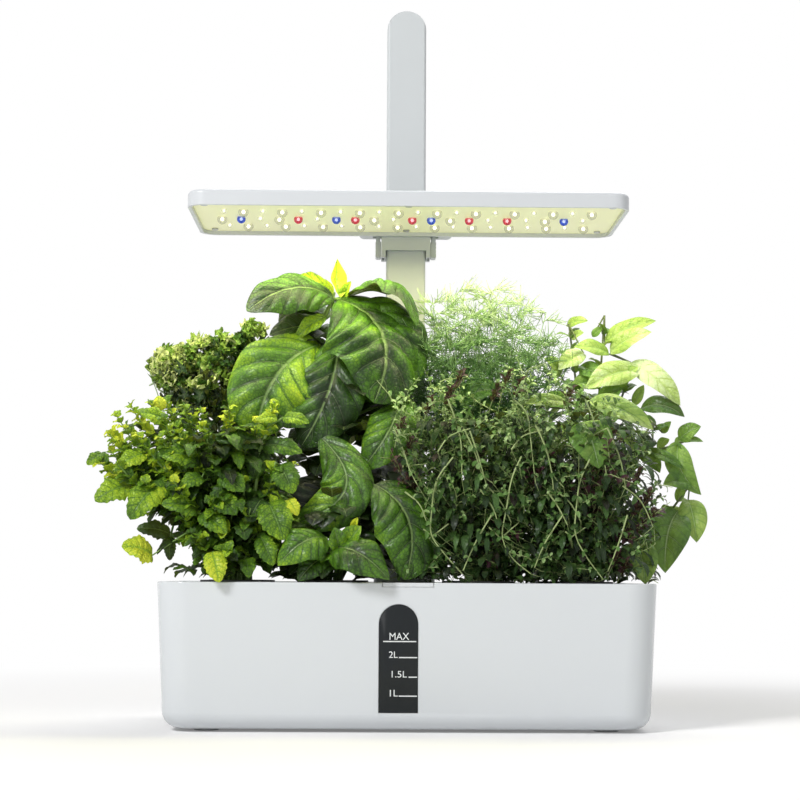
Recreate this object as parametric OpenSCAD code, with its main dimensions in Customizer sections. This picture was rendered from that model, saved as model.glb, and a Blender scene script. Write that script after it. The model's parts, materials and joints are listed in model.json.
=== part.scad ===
// Countertop hydroponic garden: a water tank with a lift-off grow deck, eight
// herb pods, a flat mast and an LED lamp that slides up and down the mast.
// Millimetres. The origin is the middle of the tank on the surface it stands on,
// +Z is up and the level window faces -Y.

/* [Tank] */
// Width of the tank at the rim
tank_w = 300; // [290:1:330]
// Depth of the tank at the rim
tank_d = 152; // [150:1:170]
// Height of the rim above the table
tank_h = 88.4; // [86:0.2:110]
// Thickness of the tank wall
tank_wall = 2.6; // [2.2:0.1:3.4]
// Thickness of the tank floor
floor_t = 3; // [2.4:0.1:5]
// How far each wall leans in from rim to floor
tank_lean = 3.5; // [1:0.5:6]
// Radius of the upright corners
corner_r = 19; // [14:1:26]
// Radius of the bottom edge
edge_r = 10; // [6:1:12]
// Width of the ledge that carries the deck
ledge_w = 3.4; // [2:0.2:5]
// Height of the rubber feet below the tank
foot_h = 1.6; // [1:0.2:4]
// Radius of a rubber foot
foot_r = 8; // [5:0.5:12]

/* [Level window] */
// Width of the level window
window_w = 23; // [16:1:30]
// Height of the level window
window_h = 63.5; // [50:0.5:66]
// Distance of the window left of the tank's middle
window_left = 5.5; // [0:0.5:30]
// How far the window stands proud of the wall
window_proud = 0.4; // [0.2:0.1:1]
// Thickness of the gasket behind the window
gasket_t = 0.5; // [0.3:0.1:0.8]

/* [Grow deck] */
// Thickness of the deck plate
deck_t = 3; // [2.4:0.1:4]
// Gap between the deck and the tank rim
deck_gap = 0.5; // [0.4:0.1:1]
// How far the deck sits below the rim
deck_recess = 0.4; // [0:0.1:2]
// Distance from one pod to the next, centre to centre
pod_pitch = 60; // [54:1:66]
// Distance of the front row of pods from the tank's front
front_inset = 40; // [36:1:44]
// Distance of the rear row of pods from the tank's back
rear_inset = 54; // [50:1:58]
// Width of the finger lip at the front of the deck
lip_w = 30; // [20:1:40]
// Thickness of the finger lip
lip_t = 2.4; // [1.6:0.1:3]

/* [Fill flap] */
// Width of the fill opening
port_w = 26; // [20:1:28]
// Length of the fill opening, front to back
port_d = 28; // [20:1:30]
// Distance of the opening's front edge from the tank's front
port_inset = 12; // [10:0.5:16]
// Radius of the flap's hinge pin
flap_pin_r = 1; // [0.8:0.1:1.4]

/* [Pods] */
// Radius of a basket just below its flange
basket_r = 18.1; // [14:0.1:19]
// Depth of a basket below the deck
basket_h = 42; // [30:1:46]
// Wall of a basket
basket_wall = 1.3; // [1:0.1:2]
// Width of a basket's flange
flange_w = 3.2; // [2:0.1:4]
// Thickness of a basket's flange
flange_t = 1.5; // [1:0.1:2.5]
// Gap between a basket and its hole in the deck
pod_gap = 0.5; // [0.3:0.1:1]

/* [Herbs] */
// Height of the tallest herb above its pod
herb_h = 210; // [180:5:212]

/* [Mast] */
// Width of the mast
mast_w = 26.4; // [20:0.2:30]
// Thickness of the mast
mast_t = 12; // [9:0.5:14]
// Height of the mast's round top above the table
mast_top = 475; // [440:5:520]
// Distance of the mast's middle from the tank's back
mast_inset = 16; // [15:0.5:20]
// Height of the boot around the mast's foot
boot_h = 26; // [18:1:30]

/* [Lamp] */
// Width of the lamp
lamp_w = 274; // [260:1:300]
// Depth of the lamp
lamp_d = 104; // [96:1:110]
// Height of the lamp's housing
lamp_h = 10; // [9:0.5:13]
// Height of the lamp's underside above the table
lamp_z = 319; // [316:1:350]
// Width of the rim around the LED board
lamp_rim = 2.4; // [2:0.1:3.5]
// How far the LED board sits inside the rim
board_recess = 2.5; // [1.5:0.1:3]
// Distance from one LED to the next along the lamp
led_pitch = 12.2; // [10:0.1:12.8]
// Distance from one row of LEDs to the next
led_row = 24; // [18:1:28]

/* [Carriage] */
// Gap between the mast and the carriage
slide_gap = 0.3; // [0.2:0.05:0.5]
// Thickness of the carriage's cheeks beside the mast
cheek = 2.9; // [2.6:0.1:4]
// Half of the width of the carriage's shoulders
shoulder = 32; // [31:0.5:36]
// Angle that the release levers turn when they are squeezed
squeeze = 5; // [3:0.5:5]

/* [Pump] */
// Radius of the pump's motor
pump_r = 15; // [12:0.5:17]
// Height of the pump's strainer above the tank floor
pump_lift = 3.4; // [2:0.2:8]
// Radius of the impeller
impeller_r = 9.5; // [7:0.5:10]

/* [Hidden] */
HERBS = ["mint", "small_basil", "thyme", "creeping_thyme",
  "parsley", "basil", "dill", "lemon_basil"];

$fn = 32;
fit = 0.05; // running fit of pins and toes
small = 0.01;
shell_white = [0.9, 0.91, 0.93];
part_white = [0.93, 0.93, 0.91];
dark = [0.09, 0.09, 0.1];
steel = [0.7, 0.7, 0.72];
copper = [0.83, 0.62, 0.35];

// Heights of the deck
ledge_z = tank_h - deck_recess - deck_t;
deck_top = ledge_z + deck_t;
skirt_h = 6;
skirt_t = 1.6;
// Inner size of the rim, and of the opening inside the ledge
rim_w = tank_w - 2 * tank_wall;
rim_d = tank_d - 2 * tank_wall;
open_w = rim_w - 2 * ledge_w;
open_d = rim_d - 2 * ledge_w;
// The front wall's lean and where its straight part starts
band = 1;
wall_foot = foot_h + edge_r;
front_lean = atan(tank_lean / (tank_h - band - wall_foot));

// Pods: four in the front row, then four in the rear row
front_row = front_inset - tank_d / 2;
rear_row = tank_d / 2 - rear_inset;
pod_x = [-1.75 * pod_pitch, -0.75 * pod_pitch, 0.75 * pod_pitch, 1.75 * pod_pitch];
pods = concat([for (x = pod_x) [x, front_row]], [for (x = pod_x) [x, rear_row]]);
hole_r = basket_r + pod_gap;
// Lines half way between the two rows and between two pods of a row
split_y = (rear_row + front_row) / 2;
split_x = 1.25 * pod_pitch;
basket_foot = basket_r - 3.1;
basket_floor = 1.5;
sponge_top = deck_top - 2.6;

// Fill opening and its hinge
port_front = tank_d / 2 - port_inset;
port_rear = port_front - port_d;
flap_t = 1.6;
flap_gap = 0.2;
hinge_r = 2.2;
hinge_y = 2 - port_rear;
hinge_z = ledge_z - flap_gap - hinge_r;
hinge_w = port_w - 8;
lug_t = 2;
lug_x = port_w / 2 + 1;

// Mast
mast_y = tank_d / 2 - mast_inset;
mast_front = mast_y - mast_t / 2;
mast_back = mast_y + mast_t / 2;
strip_w = 3;
strip_t = 0.8;
strip_x = 5;
strip_low = deck_top + 28;
strip_high = mast_top - 20;
boot_wall = 6.6;
inlet_w = 9.4;
inlet_h = 3.6;
inlet_z = deck_top + 9;

// Lamp
housing_t = 1.8;
lamp_back = mast_front - slide_gap - 2.7;
lamp_y = lamp_back - lamp_d / 2;
lamp_top = lamp_z + lamp_h;
board_z = lamp_z + board_recess;
board_t = 1.6;
spreader_t = 1;
spreader_z = board_z + board_t;
inner_top = lamp_top - housing_t;
board_screw_at = [for (x = [-1, 0, 1], y = [-1, 1])
  [x * (lamp_w / 2 - 10), lamp_y + y * (lamp_d / 2 - 11)]];
button_r = 6;
button_at = [72, lamp_y + 22];
button_travel = 0.8;
button_flange = 0.8;
flange_z = inner_top - 0.1 - button_flange;

// Carriage
channel_x = mast_w / 2 + slide_gap;
collar_x = channel_x + cheek;
shoulder_low = lamp_z + 1.5;
shoulder_top = lamp_z + 28;
carriage_wall = 2;
carriage_back = mast_back + slide_gap + 1.5;
cover_t = 2.4;
collar_low = lamp_z - 9.2;
leg_low = lamp_z - 14;
tongue_d = 30;
tongue_w = 48;
tongue_t = 3;
pivot_x = 20.5;
pivot_z = lamp_z + 9;
lever_w = 10;
pin_r = 1.5;
tab_out = collar_x + 4;
tab_in = collar_x + 0.2;
tab_low = leg_low + 0.5;
tab_travel = (pivot_z - tab_low) * tan(squeeze) + 0.1;
toe_z = pivot_z + 10.5;
spring_z = pivot_z + 9;
spring_r = 2.2;
wire_r = 0.35;
cover_screw_at = [for (x = [-1, 1], z = [shoulder_low + 4.9, shoulder_top - 3.6])
  [x * (shoulder - 5.2), z]];
tongue_screw_at = [for (x = [-1, 1], y = [lamp_back - 23, lamp_back - 7]) [x * 18, y]];

// Pump, hung under the deck on the middle line
pump_y = 8;
pump_foot = foot_h + floor_t + pump_lift;
strainer_h = 17;
strainer_wall = 1.6;
motor_h = 22;
motor_z = pump_foot + strainer_h;
motor_top = motor_z + motor_h;
shaft_r = 1;
riser_r = 4;
riser_bore = 3;
spout_r = 2.6;
riser_y = pump_y + pump_r + 2 + riser_r;
ring_t = 2.5;

// ---------- shapes used by several pieces ----------

// Flat slab with round plan corners, standing on z = 0
module slab(w, d, h, r) {
  hull() for (x = [-1, 1], y = [-1, 1])
    translate([x * (w / 2 - r), y * (d / 2 - r), 0]) cylinder(h = h, r = r);
}

// Tub-shaped solid: leaning walls, round upright corners and a round bottom edge
module tub(w, d, z0, z1, r, edge, lean) {
  hull() for (x = [-1, 1], y = [-1, 1]) {
    translate([x * (w / 2 - r), y * (d / 2 - r), z1 - band]) cylinder(h = band, r = r);
    translate([x * (w / 2 - lean - r), y * (d / 2 - lean - r), z0 + edge])
      rotate_extrude() intersection() {
        translate([r - edge, 0]) circle(edge, $fn = 24);
        translate([0, -edge]) square([r, 2 * edge]);
      }
  }
}

// Upright tablet in the XZ plane, from y to y + t, with round corners
module tablet(w, z0, z1, r, y, t) {
  translate([0, y + t, 0]) rotate([90, 0, 0]) linear_extrude(t)
    hull() for (x = [-1, 1], z = [z0 + r, z1 - r])
      translate([x * (w / 2 - r), z]) circle(r);
}

// Window outline: straight sides with a half-round top
module arch(w, h) {
  translate([-w / 2, 0]) square([w, h - w / 2]);
  translate([0, h - w / 2]) circle(w / 2);
}

// Places children on the leaning front wall: y = 0 is its outer face
module on_front() {
  translate([0, tank_lean - tank_d / 2, wall_foot]) rotate([front_lean, 0, 0]) children();
}

// Slab cut from an arch outline, from depth y0 to y1 behind the wall's face
module arch_slab(w, h, y0, y1) {
  on_front() translate([-window_left, y1, (window_h - h) / 2 + 0.6]) rotate([90, 0, 0])
    linear_extrude(y1 - y0) arch(w, h);
}

// Cylinder along Y from y0 to y1
module rod_y(x, z, y0, y1, r) {
  translate([x, y1, z]) rotate([90, 0, 0]) cylinder(h = y1 - y0, r = r);
}

// Cylinder along X from x0 to x1
module rod_x(x0, x1, y, z, r) {
  translate([x0, y, z]) rotate([0, 90, 0]) cylinder(h = x1 - x0, r = r);
}

// Points of a coil about the X axis, turns long, from x = 0 to len
function coil(r, len, turns, steps) =
  [for (i = [0 : turns * steps])
    [len * i / (turns * steps), r * sin(360 * i / steps), r * cos(360 * i / steps)]];

// Round wire along a path of points that runs on in +X or turns about it
module wire(path, r, sides) {
  n = len(path);
  function unit(v) = v / norm(v);
  function ahead(i) = unit(path[min(i + 1, n - 1)] - path[max(i - 1, 0)]);
  function side(i) = unit(cross(ahead(i), [1, 0.01, 0.02]));
  points = [for (i = [0 : n - 1], k = [0 : sides - 1])
    path[i] + r * cos(360 * k / sides) * side(i)
      + r * sin(360 * k / sides) * cross(ahead(i), side(i))];
  walls = [for (i = [0 : n - 2], k = [0 : sides - 1])
    let (a = i * sides + k, b = i * sides + (k + 1) % sides)
      [b, a, a + sides, b + sides]];
  ends = [[for (k = [0 : sides - 1]) k],
    [for (k = [sides - 1 : -1 : 0]) (n - 1) * sides + k]];
  polyhedron(points, concat(walls, ends));
}

// ---------- tank ----------

// Blow-thin water tank with a ledge for the deck and a pocket for the window
module tank() {
  color(shell_white) difference() {
    union() {
      difference() {
        tub(tank_w, tank_d, foot_h, tank_h, corner_r, edge_r, tank_lean);
        tub(rim_w, rim_d, foot_h + floor_t, tank_h + 2 * small, corner_r - tank_wall,
          edge_r - tank_wall, tank_lean);
      }
      translate([0, 0, ledge_z - 2]) difference() {
        slab(rim_w + tank_wall, rim_d + tank_wall, 2, corner_r - tank_wall / 2);
        translate([0, 0, -1]) slab(open_w, open_d, 4, corner_r - tank_wall - ledge_w);
      }
    }
    // Notch in the rim for the deck's finger lip
    translate([-lip_w / 2 - deck_gap, -tank_d / 2 - 1, tank_h - lip_t - 0.2])
      cube([lip_w + 2 * deck_gap, tank_wall + 2, lip_t + 1]);
    // Window pocket and the slot behind it
    arch_slab(window_w + 0.3, window_h + 0.3, -1, window_t_all());
    arch_slab(window_w - 6, window_h - 6, -1, tank_wall + 1);
    for (p = foot_at()) translate([p[0], p[1], 0]) cylinder(h = foot_h + 1, r = foot_r + 0.2);
  }
}

function window_t_all() = gasket_t + 1.1;
function foot_at() = concat([[0, 0]], [for (x = [-1, 1], y = [-1, 1])
  [x * (tank_w / 2 - 30), y * (tank_d / 2 - 27)]]);

// Five round rubber pads pressed into the tank's underside
module tank_feet() {
  color(dark) for (p = foot_at()) translate([p[0], p[1], 0])
    rotate_extrude() polygon([[0, 0], [foot_r - 0.8, 0], [foot_r, 0.8],
      [foot_r, foot_h + 1], [0, foot_h + 1]]);
}

// Smoked window: a flange in the pocket and a plug through the slot
module level_window() {
  color(dark) {
    arch_slab(window_w, window_h, -window_proud, window_t_all() - gasket_t);
    arch_slab(window_w - 6.4, window_h - 6.4, 0, tank_wall);
  }
}

module window_gasket() {
  color([0.2, 0.2, 0.2]) difference() {
    arch_slab(window_w, window_h, window_t_all() - gasket_t, window_t_all());
    arch_slab(window_w - 6, window_h - 6, 0, tank_wall);
  }
}

// ---------- grow deck ----------

module grow_deck() {
  color(shell_white) difference() {
    union() {
      translate([0, 0, ledge_z])
        slab(rim_w - 2 * deck_gap, rim_d - 2 * deck_gap, deck_t, corner_r - tank_wall - deck_gap);
      // Finger lip that fills the notch in the rim
      translate([-lip_w / 2, 0.2 - tank_d / 2, tank_h - lip_t])
        cube([lip_w, tank_wall + 6, lip_t]);
      // Skirt inside the tank's ledge
      translate([0, 0, ledge_z - skirt_h]) difference() {
        slab(open_w - 2 * deck_gap, open_d - 2 * deck_gap, skirt_h + small,
          corner_r - tank_wall - ledge_w - deck_gap);
        translate([0, 0, -small]) slab(open_w - 2 * deck_gap - 2 * skirt_t,
          open_d - 2 * deck_gap - 2 * skirt_t, skirt_h + small,
          corner_r - tank_wall - ledge_w - deck_gap - skirt_t);
      }
      // Collars under the pod holes and ribs between them
      for (p = pods) translate([p[0], p[1], ledge_z - 5]) cylinder(h = 5 + small, r = hole_r + 1.8);
      for (s = [-1, 1]) {
        translate([s * 1.25 * pod_pitch - 0.8, -open_d / 2 + 2, ledge_z - 4])
          cube([1.6, open_d - 4, 4 + small]);
        translate([s > 0 ? port_w / 2 + 5 : 2 - open_w / 2, split_y - 0.8, ledge_z - 4])
          cube([open_w / 2 - port_w / 2 - 7, 1.6, 4 + small]);
      }
      // Lugs for the flap's pin
      for (s = [-1, 1]) hull() {
        translate([s * (lug_x + lug_t / 2) - lug_t / 2, hinge_y - 3.4, ledge_z - small])
          cube([lug_t, 6.8, small * 2]);
        rod_x(s * (lug_x + lug_t / 2) - lug_t / 2, s * (lug_x + lug_t / 2) + lug_t / 2,
          hinge_y, hinge_z, flap_pin_r + 1.2);
      }
      // Socket for the pump's riser
      translate([0, riser_y, ledge_z - 6]) cylinder(h = 6 + small, r = riser_r + 2);
    }
    for (p = pods) translate([p[0], p[1], ledge_z - 6]) cylinder(h = deck_t + 7, r = hole_r);
    translate([-port_w / 2, -port_front, ledge_z - 1]) cube([port_w, port_d, deck_t + 2]);
    rod_x(-lug_x - lug_t - 1, lug_x + lug_t + 1, hinge_y, hinge_z, flap_pin_r);
    translate([0, riser_y, ledge_z - 7]) cylinder(h = 7, r = riser_r + fit);
    for (x = [-1, 1]) translate([x * 7, mast_y, ledge_z - 1]) cylinder(h = deck_t + 2, r = 1.7);
  }
}

// Push-down flap that closes the fill opening from below
module fill_flap() {
  color(part_white) difference() {
    union() {
      translate([-port_w / 2 - 1, -port_front - 1.5, ledge_z - flap_gap - flap_t])
        cube([port_w + 2, port_front + hinge_y - 1.6, flap_t]);
      rod_x(-hinge_w / 2, hinge_w / 2, hinge_y, hinge_z, hinge_r);
      translate([-hinge_w / 2, hinge_y - 4, ledge_z - flap_gap - flap_t])
        cube([hinge_w, 4, flap_t]);
      // Finger ridge across the front
      translate([-port_w / 2 + 3, -port_front + 1, ledge_z - flap_gap - small])
        cube([port_w - 6, 1.4, 1]);
    }
    rod_x(-hinge_w, hinge_w, hinge_y, hinge_z, flap_pin_r + fit);
  }
}

module flap_pin() {
  color(steel) rod_x(-lug_x - lug_t, lug_x + lug_t, hinge_y, hinge_z, flap_pin_r);
}

// Torsion spring on the pin, beside the flap's barrel
module flap_spring() {
  color(steel) translate([hinge_w / 2 + 0.6, hinge_y, hinge_z])
    wire(coil(flap_pin_r + 0.6, 3, 3, 8), 0.3, 4);
}

// ---------- mast ----------

// Flat mast with a half-round top and two grooves down its back
module mast() {
  color(part_white) difference() {
    intersection() {
      translate([0, mast_back, 0]) rotate([90, 0, 0]) linear_extrude(mast_t) {
        translate([-mast_w / 2, deck_top]) square([mast_w, mast_top - deck_top - mast_w / 2]);
        translate([0, mast_top - mast_w / 2]) circle(mast_w / 2, $fn = 64);
      }
      translate([0, mast_y, deck_top]) slab(mast_w, mast_t, mast_top, 2);
    }
    for (x = [-1, 1]) {
      translate([x * strip_x - strip_w / 2 - 0.1, mast_back - strip_t - 0.2, strip_low])
        cube([strip_w + 0.2, 2, strip_high - strip_low]);
      translate([x * 7, mast_y, deck_top - 1]) cylinder(h = 13, r = 1.5);
    }
  }
}

// Low-voltage contact strips let into the grooves
module contact_strips() {
  color(copper) for (x = [-1, 1])
    translate([x * strip_x - strip_w / 2, mast_back - strip_t - 0.2, strip_low])
      cube([strip_w, strip_t, strip_high - strip_low]);
}

// Boot around the mast's foot, with the power socket in its back
module mast_boot() {
  back = mast_back + boot_wall;
  front = mast_front - 5;
  color(part_white) difference() {
    translate([0, (back + front) / 2, deck_top]) hull() {
      slab(mast_w + 14, back - front, 3, 4);
      translate([0, 0, boot_h - 3]) slab(mast_w + 9, back - front - 1.6, 3, 3);
    }
    translate([0, mast_y, deck_top - 1]) slab(mast_w + 0.2, mast_t + 0.2, boot_h + 2, 2.1);
    translate([-inlet_w / 2, mast_back - 1, inlet_z - inlet_h / 2]) cube([inlet_w, 20, inlet_h]);
  }
}

module mast_screws() {
  color(steel) for (x = [-1, 1]) translate([x * 7, mast_y, 0]) {
    translate([0, 0, ledge_z - 2]) cylinder(h = 2, r = 3);
    translate([0, 0, ledge_z - small]) cylinder(h = 13, r = 1.45);
  }
}

// Low-voltage socket: a flat shell with a tongue inside
module power_inlet() {
  y0 = mast_back + 0.2;
  y1 = mast_back + boot_wall - 1;
  color(steel) translate([0, y1, inlet_z]) rotate([90, 0, 0]) {
    difference() {
      linear_extrude(y1 - y0) union() {
        square([inlet_w - inlet_h, inlet_h - 0.1], center = true);
        for (x = [-1, 1]) translate([x * (inlet_w - inlet_h) / 2, 0]) circle(inlet_h / 2 - 0.05);
      }
      translate([0, 0, 1]) linear_extrude(y1 - y0) union() {
        square([inlet_w - inlet_h, inlet_h - 0.9], center = true);
        for (x = [-1, 1]) translate([x * (inlet_w - inlet_h) / 2, 0]) circle(inlet_h / 2 - 0.45);
      }
    }
    translate([-2.4, -0.35, 0]) cube([4.8, 0.7, y1 - y0 - 1]);
  }
}

// ---------- pump ----------

module pump_motor() {
  color(dark) translate([0, pump_y, motor_z]) difference() {
    rotate_extrude() polygon([[0, 0], [pump_r - 0.2, 0], [pump_r - 0.2, motor_h - 3],
      [pump_r - 3, motor_h], [0, motor_h]]);
    translate([0, 0, -1]) cylinder(h = 9, r = shaft_r + fit);
  }
}

// Slotted cup below the motor: water comes in all round it
module pump_strainer() {
  slots = 10;
  inner = pump_r + 1 - strainer_wall;
  color([0.16, 0.16, 0.18]) translate([0, pump_y, pump_foot]) difference() {
    union() {
      difference() {
        cylinder(h = strainer_h, r = pump_r + 1);
        translate([0, 0, strainer_wall]) cylinder(h = strainer_h, r = inner);
      }
      difference() {
        cylinder(h = strainer_h, r = inner + small);
        translate([0, 0, strainer_wall]) cylinder(h = strainer_h - 2 * strainer_wall, r = inner);
        translate([0, 0, strainer_h - 4]) cylinder(h = 5, r = 4);
      }
      // Spout to the riser
      translate([0, pump_r - 1, strainer_h / 2]) rotate([-90, 0, 0])
        cylinder(h = riser_y - riser_bore - pump_y - pump_r + 1, r = spout_r);
    }
    translate([0, pump_r - 4, strainer_h / 2]) rotate([-90, 0, 0])
      cylinder(h = 14, r = spout_r - 0.8);
    for (i = [0 : slots - 1]) if (i != 0) rotate([0, 0, 90 + i * 360 / slots])
      translate([pump_r - 3, -1.2, 4]) cube([6, 2.4, strainer_h - 8]);
  }
}

// Six-bladed impeller on its shaft
module impeller() {
  blades = 6;
  z = pump_foot + 4;
  color(part_white) translate([0, pump_y, z]) {
    cylinder(h = 6, r = 3);
    cylinder(h = motor_z - z + 6, r = shaft_r);
    for (i = [0 : blades - 1]) rotate([0, 0, i * 360 / blades])
      translate([0, -0.5, 0]) cube([impeller_r, 1, 6]);
  }
}

// Riser tube with the cradle that holds the motor
module pump_riser() {
  spout_z = pump_foot + strainer_h / 2;
  color([0.75, 0.77, 0.8]) difference() {
    union() {
      translate([0, riser_y, spout_z - riser_r]) cylinder(h = ledge_z - spout_z + riser_r, r = riser_r);
      translate([0, pump_y, motor_z + 8]) cylinder(h = 7, r = pump_r + ring_t);
      translate([-2, pump_y + pump_r + 1, motor_z + 8]) cube([4, riser_y - pump_y - pump_r, 7]);
    }
    translate([0, riser_y, spout_z - riser_bore + 0.4]) cylinder(h = ledge_z - spout_z - 10,
      r = riser_bore);
    translate([0, pump_y, motor_z + 7]) cylinder(h = 9, r = pump_r - 0.2);
    // Inlet from the spout, and two windows that spill the water back
    translate([0, riser_y - riser_r - 1, spout_z]) rotate([-90, 0, 0])
      cylinder(h = riser_r + 1, r = spout_r + fit);
    rod_x(-riser_r - 1, riser_r + 1, riser_y, ledge_z - 18, 2);
  }
}

// ---------- carriage ----------

// Housing that rides on the mast: shoulders behind the lamp, a collar below them
module carriage() {
  depth = carriage_back - lamp_back;
  color(part_white) difference() {
    union() {
      tablet(2 * shoulder, shoulder_low, shoulder_top, 4, lamp_back, depth);
      translate([-collar_x, lamp_back, collar_low])
        cube([2 * collar_x, depth, shoulder_low - collar_low + 4]);
      for (s = [-1, 1]) translate([s > 0 ? channel_x : -collar_x, lamp_back, leg_low])
        cube([cheek, depth, collar_low - leg_low + small]);
      // Tongue on top of the lamp and its gussets
      translate([-tongue_w / 2, lamp_back - tongue_d, lamp_top])
        cube([tongue_w, tongue_d + small, tongue_t]);
      for (s = [-1, 1]) translate([s * 12 - 1, 0, 0]) rotate([90, 0, 90]) linear_extrude(2)
        polygon([[lamp_back - tongue_d + 8, lamp_top + tongue_t - small],
          [lamp_back + small, lamp_top + tongue_t - small], [lamp_back + small, shoulder_top - 3]]);
    }
    // Channel for the mast, open at the back
    translate([-channel_x, mast_front - slide_gap, leg_low - 1])
      cube([2 * channel_x, 60, shoulder_top - leg_low + 2]);
    // Room for the levers, with bosses left for the cover's screws
    difference() {
      translate([-shoulder + carriage_wall, lamp_back + carriage_wall, shoulder_low + carriage_wall])
        cube([2 * (shoulder - carriage_wall), 60, shoulder_top - shoulder_low - 2 * carriage_wall]);
      for (p = cover_screw_at) rod_y(p[0], p[1], lamp_back, carriage_back + 1, 2.4);
    }
    for (s = [-1, 1]) {
      // Slot for each lever and the recess that its tab moves into
      translate([s > 0 ? collar_x - tab_travel : -pivot_x - 1.5, mast_y - lever_w / 2 - 0.6,
        leg_low - 1]) cube([pivot_x + 1.5 - collar_x + tab_travel, lever_w + 1.2,
          shoulder_low + carriage_wall - leg_low + 1 + small]);
      rod_y(s * pivot_x, pivot_z, lamp_back + 0.6, lamp_back + 4, pin_r);
    }
    for (p = cover_screw_at) rod_y(p[0], p[1], lamp_back + 4, carriage_back + 1, 1.05);
    for (p = tongue_screw_at) translate([p[0], p[1], lamp_top - 1]) cylinder(h = 5, r = 1.2);
  }
}

// Back cover: closes the channel and guides the mast on two ribs
module carriage_cover() {
  color(part_white) difference() {
    union() {
      tablet(2 * shoulder, shoulder_low, shoulder_top, 4, carriage_back, cover_t);
      translate([-collar_x, carriage_back, leg_low])
        cube([2 * collar_x, cover_t, shoulder_low - leg_low + 6]);
      for (s = [-1, 1]) translate([s * 10.5 - 1.5, mast_back + slide_gap, leg_low + 6])
        cube([3, carriage_back - mast_back - slide_gap + small, shoulder_top - leg_low - 8]);
    }
    for (s = [-1, 1]) rod_y(s * pivot_x, pivot_z, carriage_back - 1, carriage_back + 1.6, pin_r);
    for (p = cover_screw_at) {
      rod_y(p[0], p[1], carriage_back - 1, carriage_back + 4, 1.2);
      rod_y(p[0], p[1], carriage_back + cover_t - 1.2, carriage_back + 4, 2.3);
    }
  }
}

// Screws of the cover and of the tongue
module carriage_screws() {
  color(steel) {
    for (p = cover_screw_at) {
      rod_y(p[0], p[1], carriage_back - 7, carriage_back + cover_t - 1, 1);
      rod_y(p[0], p[1], carriage_back + cover_t - 1.2, carriage_back + cover_t, 2.2);
    }
    for (p = tongue_screw_at) translate([p[0], p[1], 0]) {
      translate([0, 0, lamp_top - 4.5]) cylinder(h = tongue_t + 4.6, r = 1);
      translate([0, 0, lamp_top + tongue_t]) cylinder(h = 1.4, r = 2.2);
    }
  }
}

// Two spring wipers that pick up power from the mast's strips
module carriage_contacts() {
  tip = mast_back - 0.2 + fit;
  back = carriage_back;
  z = pivot_z + 2;
  color(copper) for (s = [-1, 1]) translate([s * strip_x - 1.3, 0, 0]) rotate([90, 0, 90])
    linear_extrude(2.6) polygon([[back, z - 8], [back - 0.4, z - 8], [tip, z], [back - 0.4, z + 8],
      [back, z + 8], [back, z + 6], [tip + 0.4, z], [back, z - 6]]);
}

// Release lever, drawn for the right-hand side: finger tab, hub and toe
module lever() {
  y = mast_y - lever_w / 2;
  color(part_white) difference() {
    union() {
      translate([0, y + lever_w, 0]) rotate([90, 0, 0]) linear_extrude(lever_w) {
        translate([pivot_x, pivot_z]) circle(3.2);
        polygon([[tab_in + 0.6, leg_low + 10], [pivot_x - 3.2, pivot_z], [pivot_x, pivot_z - 1],
          [tab_out - 0.4, leg_low + 10]]);
        polygon([[pivot_x - 2, pivot_z], [pivot_x - 1.5, toe_z + 2], [pivot_x + 1.5, toe_z + 2],
          [pivot_x + 2, pivot_z]]);
        translate([mast_w / 2 + fit, toe_z - 2.5]) square([pivot_x - mast_w / 2 - 1, 4.5]);
      }
      // Finger tab with a round outer edge
      hull() for (z = [tab_low + 1, tab_low + 10], x = [tab_in + 1, tab_out - 1])
        rod_y(x, z, y, y + lever_w, 1);
    }
    rod_y(pivot_x, pivot_z, y - 1, y + lever_w + 1, pin_r + fit);
    // Grip grooves across the tab
    for (i = [0 : 2]) rod_y(tab_out + 0.4, leg_low + 3.5 + i * 2.5, y - 1, y + lever_w + 1, 0.7);
  }
}

module lever_right() {
  lever();
}

module lever_left() {
  mirror([1, 0, 0]) lever();
}

module lever_pins() {
  color(steel) for (s = [-1, 1])
    rod_y(s * pivot_x, pivot_z, lamp_back + 0.7, carriage_back + 1.5, pin_r);
}

// Coil spring between a lever and the shoulder's wall, for the right-hand side
module lever_spring() {
  start = pivot_x + 2;
  color(steel) translate([start, mast_y, spring_z])
    wire(coil(spring_r, shoulder - carriage_wall - start - 0.6, 4, 8), wire_r, 4);
}

module lever_spring_right() {
  translate([0.3, 0, 0]) lever_spring();
}

module lever_spring_left() {
  mirror([1, 0, 0]) translate([0.3, 0, 0]) lever_spring();
}

// ---------- lamp ----------

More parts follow.
